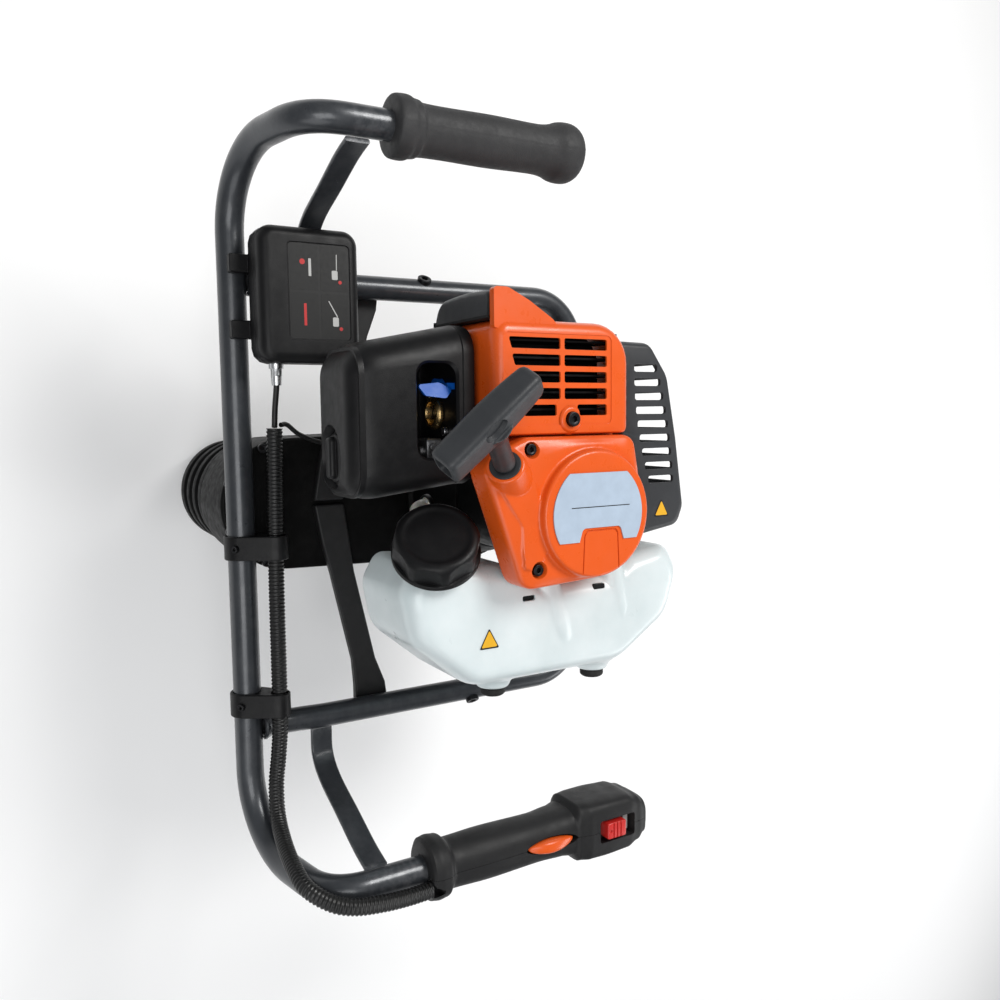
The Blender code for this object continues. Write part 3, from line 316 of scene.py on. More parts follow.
MATS = {
    "frame_paint": painted("slate_paint", (0.036, 0.040, 0.046), 0.34),
    "black_paint": painted("black_paint", (0.006, 0.006, 0.007), 0.38),
    "black_casting": cast("black_casting", (0.0028, 0.0028, 0.0028), 0.50, 0.0, 0.00003, 0.07),
    "cast_alloy": cast("cast_alloy", (0.44, 0.44, 0.45), 0.42, 0.95),
    "steel": turned_steel("machined_steel"),
    "dark_screw": turned_steel("black_oxide", (0.03, 0.03, 0.032), 0.38),
    "grip_rubber": rubbery("grip_rubber", (0.026, 0.026, 0.027), 0.62),
    "foot_rubber": rubbery("foot_rubber", (0.006, 0.006, 0.006), 0.7),
    "grip_plastic": moulded("grained_grey", (0.012, 0.012, 0.0125), 0.48, 1300.0, 0.00008, specular=0.25),
    "black_plastic": moulded("grained_black", (0.0045, 0.0045, 0.005), 0.40, 1400.0, 0.00006, specular=0.22),
    "conduit_plastic": moulded("conduit_black", (0.004, 0.004, 0.004), 0.34, 1800.0, 0.00003, specular=0.45),
    "grey_plastic": moulded("graphite_grey", (0.026, 0.028, 0.031), 0.42, 1500.0, 0.00006, specular=0.4),
    "orange_plastic": moulded("orange", (0.69, 0.092, 0.009), 0.30, 1700.0, 0.00002, 0.04, 0.04, 0.0,
                              0.2, 0.35),
    "red_plastic": moulded("red", (0.52, 0.018, 0.014), 0.34, 1600.0, 0.00003, 0.06, 0.12, 0.0, 0.2),
    "blue_plastic": moulded("blue", (0.002, 0.085, 0.42), 0.34, 1600.0, 0.00003, 0.06, 0.1, 0.0, 0.0, 0.25),
    "badge_plate": flat_print("badge", (0.38, 0.46, 0.56), 0.36),
    "tank_plastic": milky("milky_tank"),
    "clear_rubber": clear_rubber("primer_clear"),
    "rope": braided("starter_cord", (0.03, 0.03, 0.03)),
    "print_white": flat_print("print_white", (0.42, 0.42, 0.41)),
    "print_red": flat_print("print_red", (0.45, 0.03, 0.03)),
    "print_grey": flat_print("print_grey", (0.009, 0.009, 0.009)),
    "print_yellow": flat_print("print_yellow", (0.70, 0.38, 0.02)),
    "print_black": flat_print("print_black", (0.012, 0.012, 0.012)),
    "brass": turned_steel("brass", (0.72, 0.50, 0.22), 0.28),
    "plate": turned_steel("zinc_plate", (0.62, 0.63, 0.64), 0.26),
}


# ------------------------------------------------------------------ mesh helpers
HOME = "frame_and_engine"


@contextmanager
def edited(mesh):
    """The mesh, opened for editing and written back."""
    bm = bmesh.new()
    bm.from_mesh(mesh)
    yield bm
    bm.to_mesh(mesh)
    bm.free()


def make(name, verts, faces):
    """Mesh object from millimetre points of the engine's frame."""
    me = bpy.data.meshes.new(name)
    me.from_pydata([(Vector(v) + ORIGIN) * MM for v in verts], [], faces)
    with edited(me) as bm:
        bmesh.ops.recalc_face_normals(bm, faces=bm.faces)
    ob = bpy.data.objects.new(name, me)
    bpy.context.scene.collection.objects.link(ob)
    return ob


def loft(name, rings, closed=False):
    """Skin equal-length rings; the end rings are capped unless the loft closes on itself."""
    n, count = len(rings[0]), len(rings)
    faces = []
    for i in range(count if closed else count - 1):
        a, b = i * n, ((i + 1) % count) * n
        faces += [(a + j, a + (j + 1) % n, b + (j + 1) % n, b + j) for j in range(n)]
    if not closed:
        faces += [tuple(range(n)), tuple(range((count - 1) * n, count * n))]
    return make(name, [v for ring in rings for v in ring], faces)


def basis(axis):
    """Two sides and the axis itself, as unit vectors."""
    w = Vector(axis).normalized()
    u = Vector(Z if abs(w.z) < 0.9 else X)
    u = (u - w * u.dot(w)).normalized()
    return u, w.cross(u), w


def turns(n):
    """Cosine and sine at n even steps round a circle."""
    return [(cos(2 * pi * k / n), sin(2 * pi * k / n)) for k in range(n)]


def quarter(steps):
    """(1 - cosine, 1 - sine) at even steps over a right angle."""
    return [(1 - cos(pi / 2 * k / steps), 1 - sin(pi / 2 * k / steps)) for k in range(steps + 1)]


def powered(v, power):
    """The number raised to a power, with its sign kept."""
    return abs(v) ** power * (1 if v > 0 else -1)


def circle(centre, axis, r, n):
    u, v, _ = basis(axis)
    return [Vector(centre) + (u * c + v * s) * r for c, s in turns(n)]


def oval(x, y, rx, ry, n):
    return [(x + rx * c, y + ry * s) for c, s in turns(n)]


def turned(name, base, axis, profile, n=64, closed=False):
    """Solid of revolution from (distance along the axis, radius) pairs."""
    w = basis(axis)[2]
    return loft(name, [circle(Vector(base) + w * t, axis, r, n) for t, r in profile], closed)


def bent(a, b, c, steps):
    """Points of the quadratic curve from a towards b to c."""
    shares = [k / steps for k in range(steps + 1)]
    return [a * (1 - t) ** 2 + b * (2 * t * (1 - t)) + c * t * t for t in shares]


def filleted(profile, r=1.0, steps=3):
    """The (distance, radius) profile with its corners rounded."""
    out = [profile[0]]
    for i in range(1, len(profile) - 1):
        p, a, b = (Vector(profile[k]) for k in (i, i - 1, i + 1))
        da, db = min(r, (a - p).length * 0.45), min(r, (b - p).length * 0.45)
        s, e = p + (a - p).normalized() * da, p + (b - p).normalized() * db
        out += [tuple(q) for q in bent(s, p, e, steps)]
    return out + [profile[-1]]


def smooth(points, steps):
    """Points on a smooth curve through the given ones."""
    pts = [Vector(p) for p in points]
    ext = [pts[0] * 2 - pts[1]] + pts + [pts[-1] * 2 - pts[-2]]
    out = []
    for i in range(1, len(ext) - 2):
        a, b, c, d = ext[i - 1:i + 3]
        for k in range(steps):
            t = k / steps
            out.append(0.5 * (2 * b + (c - a) * t + (2 * a - 5 * b + 4 * c - d) * t * t
                              + (3 * b - a - 3 * c + d) * t ** 3))
    return out + [pts[-1]]


def spaced(points, step):
    """The polyline's points at an even distance."""
    pts = [Vector(p) for p in points]
    total = sum((b - a).length for a, b in zip(pts, pts[1:]))
    count = max(2, round(total / step))
    out, i, run = [pts[0]], 0, 0.0
    for k in range(1, count):
        want = total * k / count
        while run + (pts[i + 1] - pts[i]).length < want:
            run += (pts[i + 1] - pts[i]).length
            i += 1
        seg = pts[i + 1] - pts[i]
        out.append(pts[i] + seg * ((want - run) / seg.length))
    return out + [pts[-1]]


def tangent(pts, i):
    return (pts[min(i + 1, len(pts) - 1)] - pts[max(i - 1, 0)]).normalized()


def mirrored(pts):
    """The points on the other side of x = 0, in reverse order."""
    return [Vector((-p.x, p.y, p.z)) for p in pts[::-1]]


def frames_along(pts):
    """(point, side, up) at each point, turned as little as possible from one to the next."""
    out, u = [], None
    for i, p in enumerate(pts):
        t = tangent(pts, i)
        u = basis(t)[0] if u is None else (u - t * u.dot(t)).normalized()
        out.append((p, u, t.cross(u)))
    return out


def swept(name, path, radius, n, bore=0.0):
    """Round tube; radius is a number or a function of the distance along the path."""
    outer, inner, s, last = [], [], 0.0, None
    for p, u, v in frames_along([Vector(q) for q in path]):
        s += (p - last).length if last is not None else 0.0
        last = p
        r = radius(s) if callable(radius) else radius
        ring = [u * c + v * k for c, k in turns(n)]
        outer.append([p + d * r for d in ring])
        inner.append([p + d * bore for d in ring])
    return loft(name, outer + inner[::-1], True) if bore else loft(name, outer)


def rounded(corners, steps):
    """Polygon with rounded corners from (x, y, radius) triples."""
    out = []
    for i, corner in enumerate(corners):
        p = Vector(corner[:2])
        ua = (Vector(corners[i - 1][:2]) - p).normalized()
        ub = (Vector(corners[(i + 1) % len(corners)][:2]) - p).normalized()
        half, r = ua.angle(ub) / 2, max(0.05, corner[2])
        d = r * cos(half) / sin(half)
        mid = p + (ua + ub).normalized() * (r / sin(half))
        a0, a1 = (atan2(*(p + w * d - mid).yx) for w in (ua, ub))
        turn = (a1 - a0 + pi) % (2 * pi) - pi
        out += [(mid.x + r * cos(a0 + turn * k / steps), mid.y + r * sin(a0 + turn * k / steps))
                for k in range(steps + 1)]
    return out


def rect(x0, x1, y0, y1, r, inset=0.0, steps=8):
    """Rectangle with rounded corners, drawn in by the inset."""
    i, rr = inset, max(0.4, r - inset)
    corners = ((x0 + i, y0 + i), (x1 - i, y0 + i), (x1 - i, y1 - i), (x0 + i, y1 - i))
    return rounded([(*c, rr) for c in corners], steps)


def at(outline, z):
    """The outline's points at a height."""
    return [Vector((p[0], p[1], z)) for p in outline]


def at_y(outline, y):
    """The outline stood upright, at a distance."""
    return [Vector((p[0], y, p[1])) for p in outline]


def domed(outline_at, z0, z1, inset, drop, steps):
    """Rings of a block whose top edge is a quarter ellipse, inset wide and drop high."""
    return [outline_at(0.0, z0)] + [outline_at(inset * c, z1 - drop * s) for c, s in quarter(steps)]


def hull_outline(circles, n, inset=0.0):
    """Outline round the origin, at even angles, that encloses circles joined by their tangents."""
    cloud = sorted((x + (r - inset) * c, y + (r - inset) * s) for x, y, r in circles for c, s in turns(90))

    def half(points):
        chain = []
        for p in (Vector(q) for q in points):
            while len(chain) > 1 and (chain[-1] - chain[-2]).cross(p - chain[-2]) <= 0:
                chain.pop()
            chain.append(p)
        return chain[:-1]
    hull, out = half(cloud) + half(cloud[::-1]), []
    for d in map(Vector, turns(n)):
        best = 0.0
        for p, q in zip(hull, hull[1:] + hull[:1]):
            e = q - p
            den = d.cross(e)
            if abs(den) > 1e-9 and -1e-6 <= p.cross(d) / den <= 1 + 1e-6:
                best = max(best, p.cross(e) / den)
        out.append((d.x * best, d.y * best))
    return out


def block(outline, z0, z1, name="tool"):
    return loft(name, [at(outline, z0), at(outline, z1)])


def cuboid(x0, x1, y0, y1, z0, z1, name="tool"):
    return block([(x0, y0), (x1, y0), (x1, y1), (x0, y1)], z0, z1, name)


def rod(a, b, r, n=32):
    a, b = Vector(a), Vector(b)
    return turned("tool", a, b - a, [(0, r), ((b - a).length, r)], n)


def settle(ob):
    """Apply the object's modifiers."""
    me = bpy.data.meshes.new_from_object(ob.evaluated_get(bpy.context.evaluated_depsgraph_get()))
    ob.modifiers.clear()
    old, ob.data = ob.data, me
    bpy.data.meshes.remove(old)
    return ob


def volume(mesh):
    """Signed volume of a mesh."""
    bm = bmesh.new()
    bm.from_mesh(mesh)
    amount = bm.calc_volume(signed=True)
    bm.free()
    return amount


def boolean(ob, tools, op="DIFFERENCE"):
    """Cut or join the tools one by one; a step that loses the body is tried again a few hundredths aside."""
    for tool in tools:
        before = ob.data.copy()
        least = volume(before) * (0.999 if op == "UNION" else 0.02)
        for nudge in (0.0, 0.013, -0.021, 0.034, -0.047):
            tool.location = Vector((1.0, 0.7, -0.6)) * nudge * MM
            mod = ob.modifiers.new(op, "BOOLEAN")
            mod.object, mod.operation, mod.solver, mod.use_self = tool, op, "EXACT", nudge != 0
            settle(ob)
            if volume(ob.data) > least:
                break
            ob.data = before.copy()
        bpy.data.objects.remove(tool, do_unlink=True)
    with edited(ob.data) as bm:
        bmesh.ops.remove_doubles(bm, verts=bm.verts, dist=0.00001)
        bmesh.ops.dissolve_degenerate(bm, edges=bm.edges, dist=0.00001)
    return ob


def merged(ob, parts):
    """Put the parts into the object's mesh; a later melt makes one skin of them."""
    with edited(ob.data) as bm:
        for item in parts:
            bm.from_mesh(item.data)
    for item in parts:
        bpy.data.objects.remove(item, do_unlink=True)
    return ob


def softened(ob, voxel, passes, keep):
    """Melt a built-up shape into one soft moulding and keep a share of its facets."""
    mod = ob.modifiers.new("melt", "REMESH")
    mod.mode, mod.voxel_size = "VOXEL", voxel * MM
    mod = ob.modifiers.new("ease", "SMOOTH")
    mod.factor, mod.iterations = 0.5, passes
    mod = ob.modifiers.new("thin", "DECIMATE")
    mod.ratio = keep
    return settle(ob)


def dressed(ob, slot, body=HOME, nodes=(), bevel=0.0, segments=2, angle=35.0, look=None):
    """Material, shading, edge rounding, and the piece's place in the frame."""
    ob.data.materials.clear()
    ob.data.materials.append(MATS[look or slot])
    for poly in ob.data.polygons:
        poly.use_smooth, poly.material_index = True, 0
    ob.data.set_sharp_from_angle(angle=radians(angle))
    if bevel:
        mod = ob.modifiers.new("edges", "BEVEL")
        mod.width, mod.segments = bevel * MM, segments
        mod.limit_method, mod.angle_limit = "ANGLE", radians(angle)
        mod.harden_normals, mod.use_clamp_overlap, mod.miter_outer = True, True, "MITER_ARC"
    if body:
        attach(ob, body)
    if nodes:
        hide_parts(*nodes)
    return ob


def stand_in(ob, node, **how):
    """Dress the piece as the frame's node that it replaces: its slot and its body."""
    return dressed(ob, SLOT_OF[node], NODES[node]["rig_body"], [node], **how)


def flat_piece(name, outline, z0, z1, slot, look=None, bevel=0.0):
    """A film, print or other flat piece between two heights."""
    return dressed(block(outline, z0, z1, name), slot, look=look, bevel=bevel)


def refined(node, bevel, segments=2, look=None):
    """The frame's own solid with merged facets and rounded edges."""
    ob = bpy.data.objects.new(node + "_fine", NODES[node].data.copy())
    bpy.context.scene.collection.objects.link(ob)
    with edited(ob.data) as bm:
        bmesh.ops.remove_doubles(bm, verts=bm.verts, dist=0.00002)
        bmesh.ops.dissolve_limit(bm, angle_limit=radians(1.0), verts=bm.verts, edges=bm.edges)
    return stand_in(ob, node, bevel=bevel, segments=segments, look=look)


def socket_screw(name, base, axis, r, height, slot="dark_screw", node=None):
    """Round head with a hexagon socket."""
    n, hexagon = 48, r * 0.52
    u, v, w = basis(axis)

    def ring(t, radius, six=False):
        out = []
        for k in range(n):
            a = 2 * pi * k / n
            q = radius * cos(pi / 6) / cos((a % (pi / 3)) - pi / 6) if six else radius
            out.append(Vector(base) + w * t + (u * cos(a) + v * sin(a)) * q)
        return out
    rings = [ring(t, q) for t, q in filleted([(0, r), (height, r), (height, hexagon + 0.8)], 0.9, 4)]
    rings += [ring(height - 0.4, hexagon, True), ring(height - 3.0, hexagon, True)]
    return dressed(loft(name, rings), slot, nodes=[node] if node else ())


# ------------------------------------------------------------------ frame tubes
def bar_path():
    """Centre line of the main bar, from one grip's end round both corners to the other's."""
    corner, knee = Vector((ARM_X, BAR_Y, 0)), Vector((ARM_X, BAR_Y + 28.0, ARM_Z))
    rise = (knee - corner).normalized()
    r1, reach = ARM_X - BAR_STRAIGHT, 36.0
    centre = corner - Vector((r1, 0, 0)) + rise * r1
    half = [centre + Vector((r1 * s, 0, 0)) - rise * (r1 * c) for c, s in turns(80)[:21]]
    half += bent(knee - rise * reach, knee, knee + Vector((0, reach, 0)), 14)
    half.append(Vector((ARM_X, TUBE_END, ARM_Z)))
    return mirrored(half) + half


def frame_tubes():
    """Main bar, rear loop with its welds, and a screw in each of the loop's legs."""
    stand_in(swept("main_bar", bar_path(), BAR_R, 48, BAR_R - 2.0), "handle_bar")
    y0 = BAR_Y + BAR_R + 0.9
    path = [Vector((-LOOP_X, y0 + dy, z)) for dy, z in ((0, 0), (22, 0), (40, LOOP_Z * 0.5), (60, LOOP_Z))]
    path += [Vector((-LOOP_X + LOOP_BEND * c, LOOP_END_Y - LOOP_BEND * s, LOOP_Z)) for c, s in quarter(18)]
    path += mirrored(path)
    stand_in(swept("rear_loop", path, LOOP_R, 44, LOOP_R - 1.8), "guard_loop")
    bead = [(0, 11.6), (0.8, 13.6), (2.4, 13.8), (4.5, 12.6), (6.2, 11.6), (6.2, 11.42), (0, 11.42)]
    for side, y in ((-1, -55.0), (1, -8.0)):
        weld = turned("loop_weld", (side * LOOP_X, y0 - 0.6, 0), Y, bead, 48, True)
        dressed(weld, "frame_paint")
        lean = Vector((side * 0.8, 0, 0.6))
        socket_screw("leg_screw", Vector((side * LOOP_X, y, LOOP_Z)) + lean * (LOOP_R - 1.2), lean, 6.8, 4.2)


def braces():
    """Flat struts between the loop's legs and the raised arms."""
    route = ((LOOP_X + LOOP_R + 2.0, 0.0), (244.0, 2.0), (262.0, 22.0), (279.0, 66.0), (294.5, 106.0),
             (ARM_X - BAR_R - 2.9, 132.0))
    section, wide = rect(-10.5, 10.5, -2.2, 2.2, 1.6, 0, 4), Vector(Y)
    for side, node in ((-1, "brace_left"), (1, "brace_right")):
        rings = []
        pts = smooth([(side * x, -170.0, z) for x, z in route], 9)
        for i, p in enumerate(pts):
            thick = tangent(pts, i).cross(wide)
            rings.append([p + wide * a + thick * b for a, b in section])
        stand_in(loft(node + "_strut", rings), node, angle=50)


def conduit_route():
    return smooth([(-73, -212, 21), (60, -215, 21), (186, -216, 21.5), (225, -218, 20.5), (256, -222, 22),
                   (281, -226, 38), (293.5, -230, 70), (300.5, -232, 104), (307, -229, 128), (316, -214, 144),
                   (321, -196, 151), (324, -172, 153), (326, -150, 152), (327, -127.4, 150)], 12)


def conduit():
    """Corrugated sleeve over the throttle cable and the switch leads, and its two clip bands."""
    pitch = 3.4

    def radius(s):
        return CONDUIT_R - 0.95 * (0.5 - 0.5 * cos(2 * pi * s / pitch)) ** 1.4
    sleeve = swept("corrugated_conduit", spaced(conduit_route(), pitch / 5), radius, 24)
    stand_in(sleeve, "cable_conduit", angle=80)
    for node, x in (("conduit_clip_upper", 35.0), ("conduit_clip_lower", 181.0)):
        w, cy, cz = 11.0, -213.0 - 3.0 * x / 186.0, 21.0
        outline = hull_outline([(0.0, 0.0, BAR_R + 3.0), (cy - BAR_Y, cz, CONDUIT_R + 2.8)], 96)
        rings = [[Vector((x + s * w, BAR_Y + p[0], p[1])) for p in outline] for s in (-1, 1)]
        clip = loft(node + "_band", rings)
        boolean(clip, [rod((x - 20, BAR_Y, 0), (x + 20, BAR_Y, 0), BAR_R + 0.1, 64),
                       rod((x - 20, cy, cz), (x + 20, cy, cz), CONDUIT_R + 0.4, 48)])
        stand_in(clip, node, bevel=1.2, segments=3)
        socket_screw(node + "_screw", (x, BAR_Y - 8.5, 13.0), (0, -0.8, 0.6), 3.4, 2.6)


# ------------------------------------------------------------------ grips and controls
def left_grip():
    """Rubber grip with a stepped inner flange and a rounded end flange."""
    length = GRIP_Y1 - GRIP_Y0
    outer = [(0, 21.0), (1.6, 24.6), (7, 25.6), (13, 25.4), (17, 23.8), (22, 23.0), (27, 21.2), (50, 20.9),
             (90, 21.6), (128, 21.0), (142, 21.2), (151, 22.6), (158, 25.0), (165, 26.0), (172, 25.6),
             (177, 23.6), (180.5, 20.5), (length, 16.5)]
    profile = [(length - 18.0, BAR_R + 0.1), (0, BAR_R + 0.1)]
    profile += [(p.x, p.y) for p in smooth([(a, b, 0) for a, b in outer], 4)]
    profile += [(length - 1.2, 15.0), (length - 1.6, 8.0)]
    n, rings = 96, []
    for t, r in profile:
        centre = Vector((-ARM_X, GRIP_Y0 + t, ARM_Z))
        ring = circle(centre, Y, r, n)
        if r > BAR_R + 2 and t < length - 2:
            for k in (0, n // 2):
                ring[k] = ring[k] + (ring[k] - centre).normalized() * 0.35
        rings.append(ring)
    stand_in(loft("left_grip", rings), "plain_grip", angle=60)


def head_section(y):
    """Half width, height up, height down and squareness of the throttle grip at y."""
    keys = ((THR_Y0, 23.5, 23.5, 23.5, 2.0), (THR_Y0 + 2, 26.6, 26.2, 26.2, 2.2),
            (THR_Y0 + 9, 27.4, 27, 27, 2.3), (THR_Y0 + 17, 26.8, 26.4, 26.4, 2.2),
            (THR_Y0 + 23, THR_R, THR_R, THR_R, 2.1),
            (-65, THR_R + 0.8, THR_R + 0.8, THR_R + 0.8, 2.2), (-10, THR_R - 0.4, THR_R - 0.4, THR_R, 2.3),
            (14, THR_R + 0.2, THR_R, THR_R + 3, 2.5), (25, 22.8, 23, 26.5, 3.0), (30, 28.0, 25, 28, 4.2),
            (42, 28.4, 27.4, 28, 5.0), (60, 28.4, 27.8, 27.6, 5.4), (86, 27.8, 27.4, 26, 5.2),
            (99, 24.0, 26.0, 24, 4.6), (108, 19.0, 23.5, 21.5, 4.0), (THR_Y1 - 1.5, 15.5, 20.0, 18.5, 3.4),
            (THR_Y1, 13.0, 17.5, 16.5, 3.2))
    for a, b in zip(keys, keys[1:]):
        if y <= b[0]:
            t = (y - a[0]) / (b[0] - a[0])
            t = t * t * (3 - 2 * t)
            return [p + (q - p) * t for p, q in zip(a[1:], b[1:])]
    return keys[-1][1:]


def grip_rings(side):
    """Rings of one half of the throttle grip."""
    stations = [THR_Y0, THR_Y0 + 0.8]
    while stations[-1] < THR_Y1 - 0.5:
        y = stations[-1]
        fine = y < THR_Y0 + 26 or 20 < y < 46 or y > 84
        stations.append(y + (1.6 if fine else 5.0))
    stations[-1] = THR_Y1
    rings = []
    for y in stations:
        w, up, down, sq = head_section(y)
        ring = []
        for k in range(33):
            a = -pi / 2 + pi * k / 32
            c, s = abs(cos(a)) ** (2 / sq), abs(sin(a)) ** (2 / sq)
            x = 0.15 if k in (0, 32) else w * c + 0.15
            ring.append(Vector((ARM_X + side * x, y, ARM_Z + (up * s if a > 0 else -down * s))))
        rings.append(ring)
    return rings


def grip_cuts(side):
    """Bore of the tube, inner room, trigger slot, lock slot, switch recess; conduit and screws outside."""
    lock_slot = [(ARM_X + sx * (6.9 * sin(pi * k / 24) ** 0.55 + 0.3), -30 + 57 * k / 24)
                 for sx, ks in ((-1, range(25)), (1, range(24, -1, -1))) for k in ks]
    tools = [rod((ARM_X, THR_Y0 - 4, ARM_Z), (ARM_X, TUBE_END + 3, ARM_Z), BAR_R + 0.2, 48),
             cuboid(ARM_X - 17, ARM_X + 17, 26, 96, ARM_Z - 14, ARM_Z + 15),
             cuboid(ARM_X - 6.6, ARM_X + 6.6, -52, 56, ARM_Z - 40, ARM_Z - 13.2),
             block(lock_slot, ARM_Z + 13.6, ARM_Z + 40),
             block(rect(ARM_X - 11, ARM_X + 11, 50, 92, 2.5), ARM_Z + 16.6, ARM_Z + 40)]
    if side > 0:
        tools.append(rod((327.2, -134, 150.4), (326.6, THR_Y0 + 10, 148.8), CONDUIT_R + 0.6, 32))
        for y, x, z in ((-92.0, 17.5, 4), (104.0, 17.5, 17), (38.0, 24, 17)):
            tools.append(rod((ARM_X + x, y, ARM_Z - z), (ARM_X + 40, y, ARM_Z - z), 3.2, 24))
    return tools


def throttle_grip():
    """Two mirror halves and the face of the switch recess."""
    for side, node in ((-1, "grip_shell_inner"), (1, "grip_shell_outer")):
        shell = boolean(loft(node + "_half", grip_rings(side)), grip_cuts(side))
        stand_in(shell, node, bevel=0.6, angle=42)
    top = ARM_Z + 17.3
    flat_piece("switch_bed", rect(ARM_X - 10.6, ARM_X + 10.6, 50.4, 91.6, 2.2), ARM_Z + 16.4, top,
               "grip_plastic", "print_black", 0.2)
    for i, (y0, y1) in enumerate(((51.6, 56.0), (84.6, 90.0))):
        flat_piece(f"switch_mark_{i + 1}", rect(ARM_X - 9.0, ARM_X + 9.0, y0, y1, 0.8), top, ARM_Z + 17.5,
                   "grip_plastic", "print_white")


def controls():
    """Lock lever, trigger and stop switch of the throttle grip."""
    rings = []
    for k in range(29):
        t = min(0.995, max(0.005, k / 28))
        swell = sin(pi * t ** 0.92)
        w, top, bottom = 0.5 + 5.7 * swell ** 0.6, 19.5 + 9.0 * swell ** 0.75, 19.0 - 2.4 * swell
        y = -27 + 50 * t
        middle, half = ARM_Z + (top + bottom) / 2, (top - bottom) / 2
        rings.append([Vector((ARM_X + w * powered(c, 0.6), y, middle + half * powered(s, 0.75)))
                      for c, s in turns(20)])
    stand_in(loft("lock_lever", rings), "throttle_lock", angle=60)
    refined("throttle_trigger", 1.4, 3)

    x, z = ARM_X, ARM_Z
    slider = loft("switch_slider", domed(lambda i, h: at(rect(x - 8, x + 8, 57, 79, 2, i, 4), z + h),
                                         17.8, 30.5, 1.4, 1.8, 4))
    tools = [cuboid(x - 9, x + 9, 63 + 4.2 * k, 64.6 + 4.2 * k, z + 29.2, z + 33) for k in range(3)]
    boolean(slider, tools + [rod((x, 60.4, z + 29.4), (x, 60.4, z + 33), 1.6, 20)])
    stand_in(slider, "stop_switch", bevel=0.3, angle=40)


def control_box():
    """Switch box: domed lid with its label, base, and the leads."""
    x0, x1, y0, y1, zb = BOX
    top = zb + 34.6
    lid = loft("box_lid", domed(lambda i, z: at(rect(x0, x1, y0, y1, 14.0, i, 10), z),
                                zb + 17.4, zb + 35.5, 9.0, 10.0, 9))
    boolean(lid, [block(rect(x0 + 14, x1 - 20, y0 + 25, y1 - 10, 4), top, zb + 40)])
    stand_in(lid, "control_box_lid", bevel=0.4)
    refined("control_box_base", 1.6, 3)
    box_label(x0 + 15, x1 - 21, y0 + 26, y1 - 11, top)
    leads(x1, -213.0, 36.0)


def box_label(x0, x1, y0, y1, top):
    """Dark film with four cells: bars and dots on the left, a tile, a stroke and a dot on the right."""
    slot = SLOT_OF["control_box_lid"]
    flat_piece("label_film", rect(x0, x1, y0, y1, 3), top, top + 0.25, slot, "print_black")
    w, h, step = (x1 - x0) / 2, (y1 - y0) / 2, 0.12
    for i, j in ((0, 0), (0, 1), (1, 0), (1, 1)):
        x, y = x0 + w * (i + 0.5), y0 + h * (j + 0.5)
        cell = rect(x - w / 2 + 1.2, x + w / 2 - 1.2, y - h / 2 + 1.2, y + h / 2 - 1.2, 0.4)
        shapes = [("cell", cell, "print_grey")]
        if j:
            shapes += [("tile", rect(x + 1, x + 9, y - 2.0, y + 3.4, 1.2), "print_white"),
                       ("stroke", [(x - 13, y + 3.0 - 8 * i), (x - 12.6, y + 2.2 - 8 * i), (x + 1, y + 2.0),
                                   (x + 0.4, y + 2.8)], "print_white"),
                       ("dot", oval(x + 11, y + 5.5, 1.6, 1.6, 24), "print_red")]
        elif i:
            shapes += [("bar", rect(x - 10, x + 9, y - 1, y + 1.4, 0.5), "print_red")]
        else:
            shapes += [("bar", rect(x - 8, x + 7, y + 4, y + 6.4, 0.5), "print_white"),
                       ("dot", oval(x - 5, y - 1.5, 2.4, 2.4, 24), "print_red")]
        for label, shape, look in shapes:
            z = top + (0.25 if label == "cell" else 0.37)
            flat_piece(f"label_{label}_{2 * i + j + 1}", shape, z, z + step, slot, look)


def leads(x, y, z):
    """The box's lead with its ribbed gland, and the lead that runs on to the engine."""
    route = smooth([(x + 6, y, z), (-110, y, 35), (-90, y + 0.6, 26), (-74, -212, 21.4)], 10)
    stand_in(swept("box_lead", route, 2.6, 20), "box_cable")
    gland = [(0.2, 6.4), (4.5, 6.4), (4.5, 5.0)]
    gland += [(5.0 + 1.1 * k + d, r) for k in range(6) for d, r in ((0, 5.1), (0.55, 4.6))]
    gland += [(12.4, 4.6), (19, 4.2)]
    dressed(turned("box_gland", (x, y, z), X, filleted(gland, 0.3, 2), 40), "steel", look="plate")
    route = smooth([(-76, -206.5, 22), (-76, -199, 17), (-66, -183, 7), (-58, -156, 4), (-66, -130, 34),
                    (-84, -112, 82)], 10)
    stand_in(swept("engine_lead", route, 2.2, 16), "engine_cable")


# ------------------------------------------------------------------ engine covers
def shroud_outline(i, z):
    x0, x1, y0, y1 = SHROUD[:4]
    radii = (13, 9, 9, 34)
    corners = ((x0 + i, y0 + i), (x1 - i * 0.2, y0 + i), (x1 - i * 0.2, y1 - i), (x0 + i, y1 - i))
    return at(rounded([(*c, max(1.5, r - i)) for c, r in zip(corners, radii)], 8), z)


def louvres(top):
    """Cutters of five pairs of slots; the last pair is shorter."""
    slots = []
    for row in range(5):
        xa, slant = -145.6 + 13.6 * row, 3.0 * row
        for ya, yb, lean in ((-75.5 + slant, -25.6, 3.0), (-21.6, 22.0, 0.0)):
            if row == 4:
                ya, yb = (ya, yb - 4) if ya < -50 else (ya + 13, yb)
            corners = ((xa, ya), (xa, yb), (xa + 9.2, yb), (xa + 9.2, ya + lean))
            slots.append(block(rounded([(*c, 1.6) for c in corners], 3), top - 10, top + 5))
    return slots


